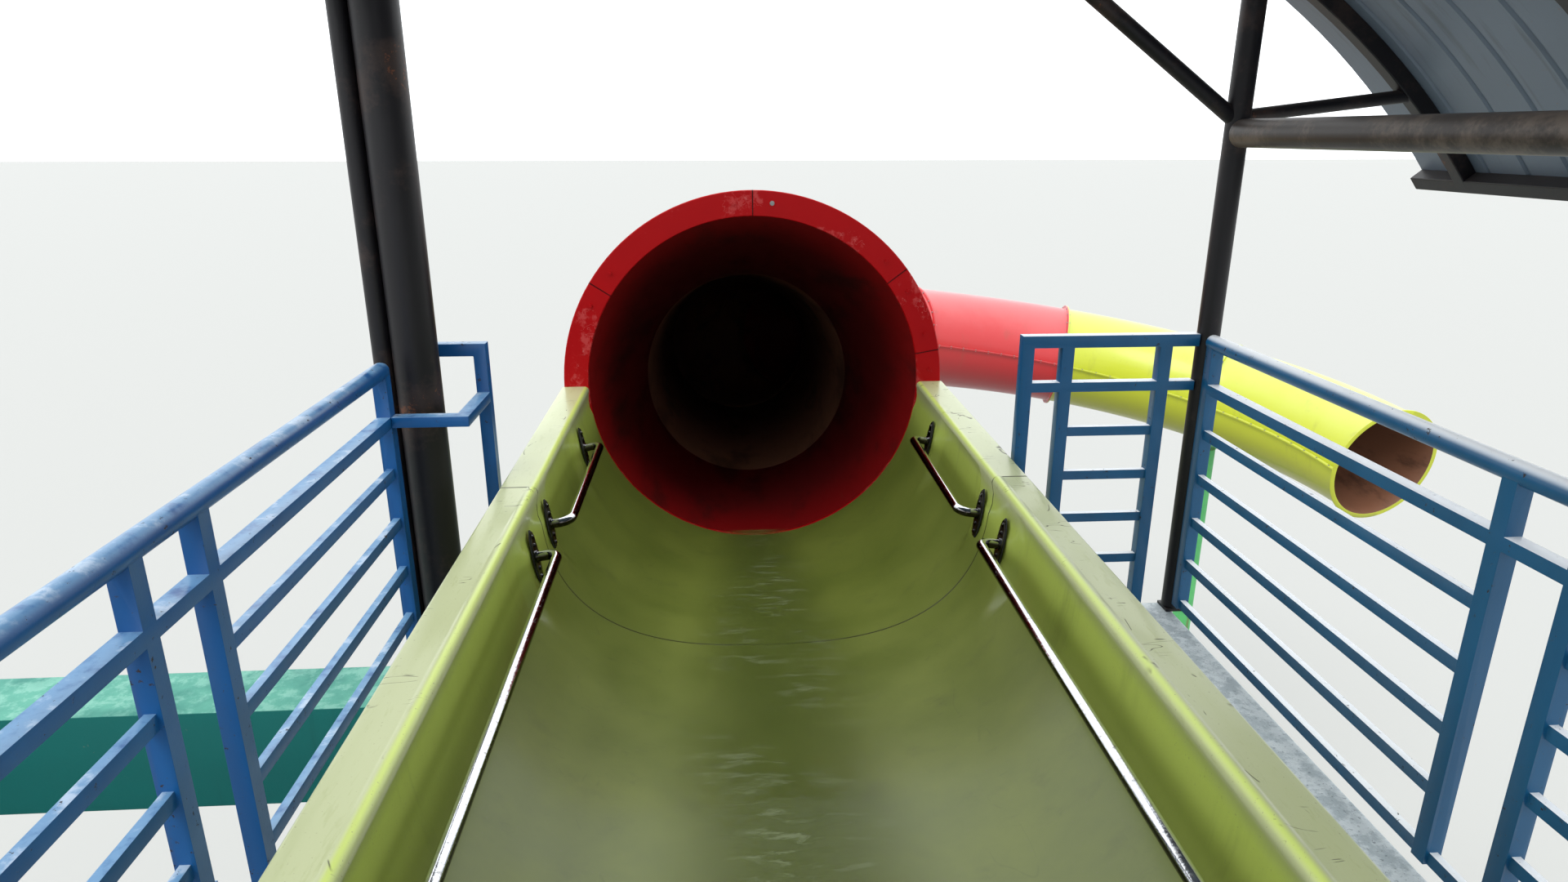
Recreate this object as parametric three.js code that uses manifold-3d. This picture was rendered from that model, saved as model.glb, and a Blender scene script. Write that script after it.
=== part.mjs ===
import * as THREE from "three";
import { mergeVertices } from "three/addons/utils/BufferGeometryUtils.js";
import Module from "manifold-3d";

// Water slide launch tower. Millimetres, +X to the rider's right, +Y down the slide, +Z up, ground at Z = 0.

// Storeys and deck
const STOREY = 4200;
const STOREYS = 2;
const DECK = STOREY * STOREYS;
const DECK_RIGHT = 1975;
const DECK_LEFT = -1250;
const DECK_FRONT = 3810;
const SLAB = 130;
const TOPPING = 50;
const GAP = 0.3125;
const SNAP = 64;

// Concrete frame: column and beam sections, and the lines they stand on
const COLUMN = 350;
const BEAM_WIDTH = 300;
const BEAM_DEPTH = 420;
const LINE_STAIR = -3325;
const LINE_MIDDLE = -1075;
const LINE_RIGHT = 1800;
const LINE_FRONT = 3410;
const LINE_REAR = -2000;

// Stair: two flights a storey with a half landing at the front
const RISERS = 12;
const GOING = 260;
const WAIST = 150;
const FLIGHT_WIDTH = 900;
const LANDING_DEPTH = 1100;
const LANDING = 150;
const TRIMMER = 200;

// Railings: ladders of flat rails between square posts, under a round handrail
const RAIL_TOP = 1250;
const RAIL_STEP = 195;
const RAIL_COUNT = 6;
const RAIL_HIGH = 40;
const RAIL_THICK = 25;
const POST = 50;
const HANDRAIL_R = 30;
const RAILING_RIGHT = 1990;
const RAILING_LEFT = -1225;
const RAILING_REAR = -2120;
const RAILING_FRONT = 3760;
const BRACKET = 60;
const STAIR_RAIL_TOP = 1120;
const STAIR_RAIL_COUNT = 4;
const STAIR_RAIL_INSET = 30;
const POST_CAP = 6;

// Start tub: rim, trough depth at its rear, at the rim joint and at the mouth
const TUB_X = 162;
const TUB_OUT = 1013;
const TUB_IN = 872;
const RIM = 760;
const RIM_ROUND = 15;
const SHELL = 12;
const TUB_REAR = 450;
const TUB_SEAM = 3440;
const MOUTH = 4950;
const FLOOR_REAR = 250;
const FLOOR_SEAM = 60;
const SQUARE_REAR = 3.2;
const SQUARE_SEAM = 2.7;
const TROUGH_STEPS = 18;

// Chrome rails inside the tub
const CHROME_R = 19;
const CHROME_DROP = 190;
const CHROME_STANDOFF = 85;
const CHROME_SIDES = 8;
const CHROME_BEND = 45;
const CHROME_PLATE = [38, 105, 8];
const OVAL_SIDES = 12;
const HANDLE_START = 3530;
const HANDLE_END = 4480;
const GRAB_START = 750;
const GRAB_END = 3220;

// Mouth ring and enclosed flume
const RING_R = 1000;
const RING = 25;
const RING_SIDES = 32;
const TUBE_R = 685;
const FLANGE_R = 745;
const FLANGE = 14;
const TUBE_SIDES = 16;
const FALL = 0.15;
const FLARE_END = 6500;
const FLARE_DROP = 320;
const TURN_START = 10000;
const TURN_R = 4000;
const TURN_SECTIONS = 5;
const TURN_STEP = THREE.MathUtils.degToRad(34.1);

// Flume posts
const PIPE_POST_R = 137;
const POST_SIDES = 16;
const SADDLE = 20;
const SADDLE_WIDTH = 90;
const SADDLE_FROM = 9;
const SADDLE_TO = 15;
const STRUT = 70;
const ARM = 140;
const ARM_REACH = 560;
const BASE_PLATE = 30;
const BASE_WIDTH = 520;

// Roof: a barrel vault whose left side stops at the left posts
const ROOF_X = 380;
const ROOF_Z = -220;
const ROOF_R = 3340;
const ROOF_RIGHT = 3010;
const ROOF_LEFT = -1400;
const RIB = 60;
const RIB_FIRST = 3760;
const RIB_STEP = 970;
const RIB_COUNT = 7;
const ROOF_SEGMENTS = 12;
const SHEET = 6;
const SHEET_OVERHANG = 280;
const POST_RIGHT_X = 1990;
const POST_RIGHT_R = 45;
const POST_LEFT_X = -1150;
const POST_LEFT_R = 82;
const POST_LEFT_Y = 3600;
const POST_REAR_LEFT_Y = -1950;
const EYE_RAIL_R = 52;
const EYE_RAIL_Z = 2030;
const BEARER = 60;
const FOOT_PLATE = 12;
const EAR = 75;
const EAR_LENGTH = 200;
const DRAIN_R = 37;
const DRAIN_TOP = 2600;
const BRACE_R = 30;
const BRACE_FOOT_Z = 2070;
const BRACE_HEAD_X = 600;
const OUTRIGGER_R = 25;
const OUTRIGGER_X = 2650;

const wasm = await Module();
wasm.setup();

const group = new THREE.Group();

// Materials
const paint = (color, roughness, metalness = 0) =>
  new THREE.MeshStandardMaterial({ color, roughness, metalness });
const teal = paint(0x2f9c86, 0.75);
const concrete = paint(0xb9bab4, 0.9);
const blue = paint(0x2d5f96, 0.5);
const black = paint(0x1e1c20, 0.45);
const roofSheet = paint(0x4b5560, 0.5);
const gelcoat = paint(0xcdd7a0, 0.3);
const red = paint(0xc81e26, 0.3);
const yellow = paint(0xd7e13c, 0.3);
const chrome = paint(0xd8dadc, 0.12, 1);
const green = paint(0x4fae62, 0.5);

const at = (x, y, z) => new THREE.Vector3(x, y, z);

// A closed geometry as a solid, and a solid as a geometry
function solidOf(geometry) {
  const bare = geometry.clone();
  bare.deleteAttribute("normal");
  bare.deleteAttribute("uv");
  const place = bare.attributes.position;
  for (let i = 0; i < place.array.length; i += 1) {
    place.array[i] = Math.round(place.array[i] * SNAP) / SNAP;
  }
  const merged = mergeVertices(bare, 1e-3);
  const mesh = new wasm.Mesh({
    numProp: 3,
    vertProperties: new Float32Array(merged.attributes.position.array),
    triVerts: new Uint32Array(merged.index.array),
  });
  return new wasm.Manifold(mesh);
}

function geometryOf(solid) {
  const mesh = solid.getMesh();
  const geometry = new THREE.BufferGeometry();
  geometry.setAttribute("position", new THREE.BufferAttribute(mesh.vertProperties, 3));
  geometry.setIndex(new THREE.BufferAttribute(mesh.triVerts, 1));
  return geometry;
}

const join = (pieces) => geometryOf(pieces.map(solidOf).reduce((sum, piece) => sum.add(piece)));

function add(name, geometry, material) {
  const mesh = new THREE.Mesh(geometry, material);
  mesh.name = name;
  group.add(mesh);
}

function block(x0, x1, y0, y1, z0, z1) {
  const geometry = new THREE.BoxGeometry(x1 - x0, y1 - y0, z1 - z0);
  return geometry.translate((x0 + x1) / 2, (y0 + y1) / 2, (z0 + z1) / 2);
}

// An outline drawn across and up from an origin, made thick along across x up
function plate(outline, origin, across, up, thickness) {
  const geometry = new THREE.ExtrudeGeometry(new THREE.Shape(outline), {
    depth: thickness,
    bevelEnabled: false,
  });
  const away = new THREE.Vector3().crossVectors(across, up);
  const basis = new THREE.Matrix4().makeBasis(across, up, away).setPosition(origin);
  return geometry.applyMatrix4(basis);
}

// A straight bar of rectangular section
function bar(from, to, width, depth) {
  const along = new THREE.Vector3().subVectors(to, from);
  const length = along.length();
  along.normalize();
  const up = Math.abs(along.z) > 0.99 ? at(0, 1, 0) : at(0, 0, 1);
  const across = new THREE.Vector3().crossVectors(along, up).normalize();
  up.crossVectors(across, along);
  const middle = new THREE.Vector3().addVectors(from, to).multiplyScalar(0.5);
  const basis = new THREE.Matrix4().makeBasis(across, along, up).setPosition(middle);
  return new THREE.BoxGeometry(width, length, depth).applyMatrix4(basis);
}

// A straight round pipe
function pipe(from, to, radius, sides = 12) {
  const along = new THREE.Vector3().subVectors(to, from);
  const geometry = new THREE.CylinderGeometry(radius, radius, along.length(), sides);
  const turn = new THREE.Quaternion();
  turn.setFromUnitVectors(at(0, 1, 0), along.clone().normalize());
  geometry.applyQuaternion(turn);
  const middle = new THREE.Vector3().addVectors(from, to).multiplyScalar(0.5);
  return geometry.translate(middle.x, middle.y, middle.z);
}

// The same geometry with its faces turned outwards
function facingOut(geometry) {
  const place = geometry.attributes.position;
  const index = geometry.index.array;
  const corner = [at(0, 0, 0), at(0, 0, 0), at(0, 0, 0)];
  let volume = 0;
  for (let i = 0; i < index.length; i += 3) {
    corner.forEach((v, n) => v.fromBufferAttribute(place, index[i + n]));
    volume += corner[0].dot(corner[1].cross(corner[2]));
  }
  if (volume < 0) index.reverse();
  return geometry;
}

// A skin over rings of equal point counts: a closed loop of rings, or a run of rings with flat ends
function loft(rings, isLoop) {
  const count = rings[0].length;
  const flat = rings[0].map((p) => new THREE.Vector2(p.x, p.z));
  if (!isLoop && THREE.ShapeUtils.isClockWise(flat)) {
    rings.forEach((ring) => ring.reverse());
    flat.reverse();
  }
  const index = [];
  const last = isLoop ? rings.length : rings.length - 1;
  for (let i = 0; i < last; i += 1) {
    const here = i * count;
    const next = ((i + 1) % rings.length) * count;
    for (let j = 0; j < count; j += 1) {
      const k = (j + 1) % count;
      index.push(here + j, here + k, next + k, here + j, next + k, next + j);
    }
  }
  if (!isLoop) {
    const end = (rings.length - 1) * count;
    THREE.ShapeUtils.triangulateShape(flat, []).forEach(([a, b, c]) => {
      index.push(a, c, b, end + a, end + b, end + c);
    });
  }
  const geometry = new THREE.BufferGeometry();
  const points = rings.flat().flatMap((p) => [p.x, p.y, p.z]);
  geometry.setAttribute("position", new THREE.Float32BufferAttribute(points, 3));
  geometry.setIndex(index);
  return facingOut(geometry);
}

// A bar through convex rings of equal point counts, with flat ends
function beam(rings) {
  const count = rings[0].length;
  const index = [];
  rings.slice(1).forEach((_, i) => {
    for (let j = 0; j < count; j += 1) {
      const [a, b] = [count * i + j, count * i + ((j + 1) % count)];
      index.push(a, b, b + count, a, b + count, a + count);
    }
  });
  const end = count * (rings.length - 1);
  for (let j = 1; j + 1 < count; j += 1) index.push(0, j + 1, j, end, end + j, end + j + 1);
  const geometry = new THREE.BufferGeometry();
  const points = rings.flat().flatMap((p) => [p.x, p.y, p.z]);
  geometry.setAttribute("position", new THREE.Float32BufferAttribute(points, 3));
  geometry.setIndex(index);
  return facingOut(geometry);
}

// Concrete frame

const beamTop = (level) =>
  level === STOREYS ? DECK - TOPPING - GAP : level * STOREY - LANDING - GAP;

// Three columns in one plane with beams between them, and beams under the half landings
function crossFrame(y, hasLandings) {
  const half = COLUMN / 2;
  const columns = [LINE_STAIR, LINE_MIDDLE, LINE_RIGHT].map((x) =>
    block(x - half, x + half, y - half, y + half, 0, beamTop(STOREYS)),
  );
  const crossBeam = (end, z) =>
    block(LINE_STAIR, end, y - BEAM_WIDTH / 2, y + BEAM_WIDTH / 2, z - BEAM_DEPTH, z);
  const beams = [];
  for (let level = 1; level <= STOREYS; level += 1) {
    beams.push(crossBeam(LINE_RIGHT, beamTop(level)));
    if (hasLandings) beams.push(crossBeam(LINE_MIDDLE, (level - 0.5) * STOREY - LANDING - GAP));
  }
  return join([...columns, ...beams]);
}

function addConcreteFrame() {
  add("front_frame", crossFrame(LINE_FRONT, true), teal);
  add("rear_frame", crossFrame(LINE_REAR, false), teal);
  const y0 = LINE_REAR + COLUMN / 2 + GAP;
  const y1 = LINE_FRONT - COLUMN / 2 - GAP;
  const half = BEAM_WIDTH / 2;
  const lines = { left: LINE_STAIR, middle: LINE_MIDDLE, right: LINE_RIGHT };
  for (let level = 1; level <= STOREYS; level += 1) {
    const z = beamTop(level);
    Object.entries(lines).forEach(([side, x]) => {
      add(`${side}_beam_${level}`, block(x - half, x + half, y0, y1, z - BEAM_DEPTH, z), teal);
    });
  }
}

// Stair

const STAIR_LEFT = LINE_STAIR + COLUMN / 2 + GAP;
const STAIR_RIGHT = LINE_MIDDLE - COLUMN / 2 - GAP;
const REAR_EDGE = LINE_REAR + COLUMN / 2 + LANDING_DEPTH;
const FRONT_EDGE = REAR_EDGE + (RISERS - 1) * GOING;
const RISE = STOREY / 2 / RISERS;
const SLOPE = RISE / GOING;
const SOFFIT = WAIST * Math.hypot(1, SLOPE);

// Side outline of a flight in run and height: steps above and a straight soffit below
function flightOutline(standsOnGround, joinsLanding) {
  const run = (RISERS - 1) * GOING;
  const points = [];
  const point = (x, z) => points.push(new THREE.Vector2(x, z));
  for (let step = 0; step < RISERS - 1; step += 1) {
    if (step > 0 || standsOnGround) point(step * GOING, step * RISE);
    point(step * GOING, (step + 1) * RISE);
  }
  const top = (RISERS - 1) * RISE;
  point(run, top);
  if (joinsLanding) {
    point(run, top + RISE);
    point(run + WAIST, top + RISE);
    point(run + WAIST, top - SOFFIT);
  }
  point(run, top - SOFFIT);
  if (standsOnGround) point(SOFFIT / SLOPE, 0);
  else point(0, -SOFFIT);
  return points;
}

// A flight between two widths, going up forwards or rearwards from a foot
function flight(x0, x1, foot, z, isForward, standsOnGround, joinsLanding) {
  const outline = flightOutline(standsOnGround, joinsLanding);
  const run = isForward ? at(0, 1, 0) : at(0, -1, 0);
  const origin = at(isForward ? x0 : x1, foot, z);
  return plate(outline, origin, run, at(0, 0, 1), x1 - x0);
}

function landing(y0, y1, z, trimmerStart) {
  const depth = RISE + SOFFIT;
  return [
    block(STAIR_LEFT, STAIR_RIGHT, y0, y1, z - LANDING, z),
    block(STAIR_LEFT, STAIR_RIGHT, trimmerStart, trimmerStart + TRIMMER, z - depth, z),
  ];
}

function addStair() {
  const outer = STAIR_LEFT + FLIGHT_WIDTH;
  const inner = STAIR_RIGHT - FLIGHT_WIDTH;
  const frontEnd = LINE_FRONT + BEAM_WIDTH / 2;
  const rearEnd = LINE_REAR - BEAM_WIDTH / 2;
  for (let storey = 0; storey < STOREYS; storey += 1) {
    const floor = storey * STOREY;
    const half = floor + STOREY / 2;
    const isLast = storey === STOREYS - 1;
    const up = flight(STAIR_LEFT, outer, REAR_EDGE + GAP, floor, true, storey === 0, true);
    const front = landing(FRONT_EDGE + GAP, frontEnd, half, FRONT_EDGE + GAP);
    add(`stair_flight_${2 * storey + 1}`, join([up, ...front]), concrete);
    const back = flight(inner, STAIR_RIGHT, FRONT_EDGE, half, false, false, !isLast);
    const rear = landing(rearEnd, REAR_EDGE, floor + STOREY, REAR_EDGE - TRIMMER);
    const pieces = isLast ? [back] : [back, ...rear];
    add(`stair_flight_${2 * storey + 2}`, join(pieces), concrete);
  }
}

// Deck: a topping over the beams, thicker between them, with a trimmer at the head of the stair
function addDeck() {
  const rear = LINE_REAR - COLUMN / 2;
  const left = LINE_STAIR - COLUMN / 2;
  const edge = BEAM_WIDTH / 2 + GAP;
  const between = (x0, x1, y1) =>
    block(x0 + edge, x1 - edge, LINE_REAR + COLUMN / 2 + GAP, y1, DECK - SLAB, DECK - TOPPING / 2);
  const trimmerTop = DECK - TOPPING / 2;
  const deck = join([
    block(DECK_LEFT, DECK_RIGHT, rear, DECK_FRONT, DECK - TOPPING, DECK),
    block(left, DECK_LEFT + TOPPING, rear, REAR_EDGE - GAP, DECK - TOPPING, DECK),
    block(
      DECK_LEFT - EAR,
      DECK_LEFT + TOPPING,
      POST_LEFT_Y - EAR_LENGTH / 2,
      POST_LEFT_Y + EAR_LENGTH / 2,
      DECK - TOPPING,
      DECK,
    ),
    between(LINE_MIDDLE, LINE_RIGHT, LINE_FRONT - COLUMN / 2 - GAP),
    between(LINE_STAIR, LINE_MIDDLE, REAR_EDGE - GAP),
    block(
      LINE_STAIR + edge,
      LINE_MIDDLE - edge,
      REAR_EDGE - TRIMMER,
      REAR_EDGE - GAP,
      DECK - RISE - SOFFIT,
      trimmerTop,
    ),
  ]);
  add("deck_slab", deck, concrete);
}

// Railings

// A level ladder railing along a line: posts at distances, a tube as wide as them for the second
// rail, and flat rails between pairs of them
function levelRailing(from, to, posts, bays, options = {}) {
  const { isRound = true, footRails = [], before = 0, after = 0 } = options;
  const along = new THREE.Vector3().subVectors(to, from);
  const length = along.length();
  along.normalize();
  const spot = (distance, height) =>
    from.clone().addScaledVector(along, distance).add(at(0, 0, height));
  const rail = (start, end, height) =>
    bar(spot(start, height - RAIL_HIGH / 2), spot(end, height - RAIL_HIGH / 2), RAIL_THICK, RAIL_HIGH);
  const bottom = RAIL_TOP - RAIL_COUNT * RAIL_STEP - RAIL_HIGH;
  const pieces = posts.map(([distance, foot]) => {
    const low = foot === undefined ? bottom : foot;
    return bar(spot(distance, low), spot(distance, RAIL_TOP - HANDRAIL_R), POST, POST);
  });
  const topAxis = RAIL_TOP - (isRound ? HANDRAIL_R : POST / 2);
  const ends = [spot(-before, topAxis), spot(length + after, topAxis)];
  pieces.push(isRound ? pipe(...ends, HANDRAIL_R) : bar(...ends, POST, POST));
  const second = RAIL_TOP - RAIL_STEP - RAIL_HIGH / 2;
  pieces.push(bar(spot(0, second), spot(length, second), POST, RAIL_HIGH));
  bays.forEach(([start, end]) => {
    for (let i = 2; i <= RAIL_COUNT; i += 1) {
      pieces.push(rail(start, end, RAIL_TOP - i * RAIL_STEP));
    }
  });
  footRails.forEach(([start, end]) => {
    pieces.push(rail(start, end, RAIL_TOP - RAIL_COUNT * RAIL_STEP));
  });
  return pieces;
}

function addDeckRailings() {
  const z = DECK + GAP;
  const start = RAILING_REAR + POST_RIGHT_R + GAP;
  const stop = RIB_FIRST - POST_RIGHT_R - GAP;
  const rightPosts = [start + POST / 2, -1540, -1300, 60, 300, 1900, 2140, stop - POST / 2];
  const right = levelRailing(
    at(RAILING_RIGHT, start, z),
    at(RAILING_RIGHT, stop, z),
    rightPosts.map((y) => [y - start]),
    [
      [0, -1540 - start],
      [-1300 - start, 60 - start],
      [300 - start, 1900 - start],
      [2140 - start, stop - start],
    ],
    { footRails: [[0, stop - start]] },
  );
  // Lugs that carry the right railing on the edge of the slab
  const lugTop = z + RAIL_TOP - RAIL_COUNT * RAIL_STEP;
  [-1420, 180].forEach((y) => {
    const outside = RAILING_RIGHT + POST / 2;
    right.push(block(DECK_RIGHT + GAP, outside, y - BRACKET, y + BRACKET, z - TOPPING, lugTop));
  });
  add("right_railing", join(right), blue);

  const leftStart = REAR_EDGE - POST;
  const leftEnd = 3420;
  const leftPosts = [leftStart + POST / 2, 140, 410, 1860, 2130, leftEnd];
  const left = levelRailing(
    at(RAILING_LEFT, leftStart, z),
    at(RAILING_LEFT, leftEnd, z),
    leftPosts.map((y) => [y - leftStart, 0]),
    [
      [0, 140 - leftStart],
      [410 - leftStart, 1860 - leftStart],
      [2130 - leftStart, leftEnd - leftStart],
    ],
  );
  add("left_railing", join(left), blue);

  // The second rail turns round the roof post to a far post, whose top rail runs back behind it
  const second = z + RAIL_TOP - RAIL_STEP - RAIL_HIGH / 2;
  const top = z + RAIL_TOP - POST / 2;
  const cornerX = -950;
  const low = (from, to) => bar(from, to, POST, RAIL_HIGH);
  const square = (from, to) => bar(from, to, POST, POST);
  const back = [
    low(
      at(RAILING_LEFT + POST / 2 + GAP, leftEnd, second),
      at(cornerX + POST / 2, leftEnd, second),
    ),
    low(at(cornerX, leftEnd, second), at(cornerX, RAILING_FRONT, second)),
    square(at(cornerX, RAILING_FRONT, z), at(cornerX, RAILING_FRONT, top)),
    square(at(RAILING_LEFT, RAILING_FRONT, top), at(cornerX + POST / 2, RAILING_FRONT, top)),
  ];
  add("left_railing_return", join(back), blue);

  const panelStart = 1210;
  const panelEnd = POST_RIGHT_X - POST_RIGHT_R - GAP;
  const front = levelRailing(
    at(panelStart, RAILING_FRONT, z),
    at(panelEnd, RAILING_FRONT, z),
    [1235, 1401, 1810].map((x) => [x - panelStart, 0]),
    [[1401 - panelStart, 1810 - panelStart]],
    { isRound: false },
  );
  add("front_railing", join(front), blue);

  const rearLeft = LINE_STAIR - COLUMN / 2 + POST;
  const rearLength = RAILING_RIGHT - POST_RIGHT_R - GAP - rearLeft;
  const rearPosts = [-1800, -1560, -200, 40].map((x) => x - rearLeft);
  const rear = levelRailing(
    at(rearLeft, RAILING_REAR, z),
    at(rearLeft + rearLength, RAILING_REAR, z),
    [POST / 2, ...rearPosts, rearLength - POST / 2 - BRACKET].map((distance) => [distance, 0]),
    [
      [0, rearPosts[0]],
      [rearPosts[1], rearPosts[2]],
      [rearPosts[3], rearLength - BRACKET],
    ],
  );
  add("rear_railing", join(rear), blue);

  // The stair head: a side panel, and a panel across the front whose first post is the corner
  const sideFoot = RAILING_REAR + HANDRAIL_R + GAP;
  const sideHead = REAR_EDGE - POST;
  const sideLength = sideHead - POST / 2 - GAP - sideFoot;
  const side = levelRailing(
    at(rearLeft, sideFoot, z),
    at(rearLeft, sideFoot + sideLength, z),
    [[POST / 2, 0]],
    [[0, sideLength]],
    { after: POST / 2 - HANDRAIL_R },
  );
  add("landing_railing_side", join(side), blue);
  const acrossLength = STAIR_LEFT + FLIGHT_WIDTH - rearLeft;
  const across = levelRailing(
    at(rearLeft, sideHead, z),
    at(rearLeft + acrossLength, sideHead, z),
    [
      [0, 0],
      [acrossLength, 0],
    ],
    [[0, acrossLength]],
    { before: HANDRAIL_R },
  );
  add("landing_railing_front", join(across), blue);
}

// Guard on three sides of the landing between the two storeys
function addLowerLandingRailing() {
  const z = STOREY + GAP;
  const left = STAIR_LEFT + STAIR_RAIL_INSET;
  const right = STAIR_RIGHT - STAIR_RAIL_INSET;
  const rear = LINE_REAR - BEAM_WIDTH / 2 + STAIR_RAIL_INSET;
  const length = REAR_EDGE - POST - rear;
  const side = (x) =>
    levelRailing(
      at(x, rear, z),
      at(x, rear + length, z),
      [
        [0, 0],
        [length / 2, 0],
        [length - POST / 2, 0],
      ],
      [[0, length]],
      { before: HANDRAIL_R },
    );
  const width = right - left;
  const back = levelRailing(at(left, rear, z), at(right, rear, z), [[width / 2, 0]], [[0, width]]);
  add("lower_landing_railing", join([...side(left), ...side(right), ...back]), blue);
}

// Rails that follow a path of points, with a post down to each given foot
function pathRailing(path, posts) {
  const pieces = [];
  for (let i = 0; i + 1 < path.length; i += 1) {
    for (let rail = 0; rail < STAIR_RAIL_COUNT; rail += 1) {
      const lift = at(0, 0, STAIR_RAIL_TOP - rail * 1.5 * RAIL_STEP - RAIL_HIGH / 2);
      const from = path[i].clone().add(lift);
      const to = path[i + 1].clone().add(lift);
      pieces.push(bar(from, to, RAIL_THICK, RAIL_HIGH));
    }
  }
  posts.forEach(([x, y, foot, line]) => {
    pieces.push(bar(at(x, y, foot + GAP), at(x, y, line + STAIR_RAIL_TOP + POST_CAP), POST, POST));
  });
  return join(pieces);
}

function addStairRailings() {
  const left = STAIR_LEFT + STAIR_RAIL_INSET;
  const right = STAIR_RIGHT - STAIR_RAIL_INSET;
  const wellLeft = STAIR_LEFT + FLIGHT_WIDTH - STAIR_RAIL_INSET;
  const wellRight = STAIR_RIGHT - FLIGHT_WIDTH + STAIR_RAIL_INSET;
  const onStep = (step) => (step - 0.5) * GOING;
  for (let storey = 0; storey < STOREYS; storey += 1) {
    const floor = storey * STOREY;
    const half = floor + STOREY / 2;
    const foot = REAR_EDGE + onStep(1);
    const head = FRONT_EDGE + GOING / 2;
    const upTo = (y) => floor + ((y - foot) / (head - foot)) * (STOREY / 2 - RISE) + RISE;
    const onTo = (y) => half + ((head - y) / (head - foot)) * (STOREY / 2 - RISE);
    const rising = (x) =>
      [1, 6].map((step) => {
        const y = REAR_EDGE + onStep(step);
        return [x, y, floor + step * RISE, upTo(y)];
      });
    const onwards = (x) =>
      [2, 7].map((step) => {
        const y = FRONT_EDGE - onStep(step);
        return [x, y, half + step * RISE, onTo(y)];
      });
    const level = (x, y) => [x, y, half, half];
    const last = (x) => [x, foot, half + (RISERS - 1) * RISE, onTo(foot)];
    const low = (x) => at(x, foot, upTo(foot));
    const high = (x) => at(x, foot, onTo(foot));
    const flat = (x, y) => at(x, y, half);

    // Outside guard in three flat panels: up, across the half landing and up again
    const panels = {
      left: pathRailing(
        [low(left), flat(left, head), flat(left, LINE_FRONT)],
        [...rising(left), level(left, head), level(left, LINE_FRONT)],
      ),
      front: pathRailing(
        [flat(left + POST / 2 + GAP, LINE_FRONT), flat(right - POST / 2 - GAP, LINE_FRONT)],
        [level((left + right) / 2, LINE_FRONT)],
      ),
      right: pathRailing(
        [flat(right, LINE_FRONT), flat(right, head), high(right)],
        [level(right, LINE_FRONT), level(right, head), ...onwards(right), last(right)],
      ),
    };
    Object.entries(panels).forEach(([side, panel]) => {
      add(`stair_railing_${storey + 1}_${side}`, panel, blue);
    });
    const well = pathRailing(
      [low(wellLeft), flat(wellLeft, head), flat(wellRight, head), high(wellRight)],
      [
        ...rising(wellLeft),
        level(wellLeft, head),
        level(wellRight, head),
        ...onwards(wellRight),
        last(wellRight),
      ],
    );
    add(`well_railing_${storey + 1}`, well, blue);
  }
}

// Start tub

// Depth of the trough and squareness of its section at a distance along the slide
function trough(y) {
  const mouthDepth = TUB_IN;
  if (y <= TUB_SEAM) {
    const t = (y - TUB_REAR) / (TUB_SEAM - TUB_REAR);
    return {
      depth: RIM - THREE.MathUtils.lerp(FLOOR_REAR, FLOOR_SEAM, t),
      square: THREE.MathUtils.lerp(SQUARE_REAR, SQUARE_SEAM, t),
    };
  }
  const t = (y - TUB_SEAM) / (MOUTH - TUB_SEAM);
  return {
    depth: THREE.MathUtils.lerp(RIM - FLOOR_SEAM, mouthDepth, t),
    square: THREE.MathUtils.lerp(SQUARE_SEAM, 2, t),
  };
}

// The trough's inner curve from left to right as pairs of x and z, grown by a thickness
function troughCurve(y, grow) {
  const { depth, square } = trough(y);
  const points = [];
  for (let i = 0; i <= TROUGH_STEPS; i += 1) {
    const angle = (Math.PI * i) / TROUGH_STEPS;
    const side = Math.abs(Math.cos(angle)) ** (2 / square) * Math.sign(Math.cos(angle));
    const down = Math.abs(Math.sin(angle)) ** (2 / square);
    const x = TUB_X - (TUB_IN + grow) * (i * 2 === TROUGH_STEPS ? 0 : side);
    const z = DECK + RIM - RIM_ROUND - (depth - RIM_ROUND + grow) * (i % TROUGH_STEPS ? down : 0);
    points.push([x, z]);
  }
  return points;
}

function tubSection(y, skirt) {
  const top = DECK + RIM;
  const inner = TUB_IN + RIM_ROUND;
  const under = top - SHELL;
  const outline = [
    [TUB_X - TUB_OUT, skirt],
    [TUB_X - TUB_OUT, top],
    [TUB_X - inner, top],
    ...troughCurve(y, 0),
    [TUB_X + inner, top],
    [TUB_X + TUB_OUT, top],
    [TUB_X + TUB_OUT, skirt],
    [TUB_X + TUB_OUT - SHELL, skirt],
    [TUB_X + TUB_OUT - SHELL, under],
    [TUB_X + TUB_IN + SHELL, under],
    ...troughCurve(y, SHELL).reverse(),
    [TUB_X - TUB_IN - SHELL, under],
    [TUB_X - TUB_OUT + SHELL, under],
    [TUB_X - TUB_OUT + SHELL, skirt],
  ];
  return outline.map(([x, z]) => at(x, y, z));
}

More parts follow.
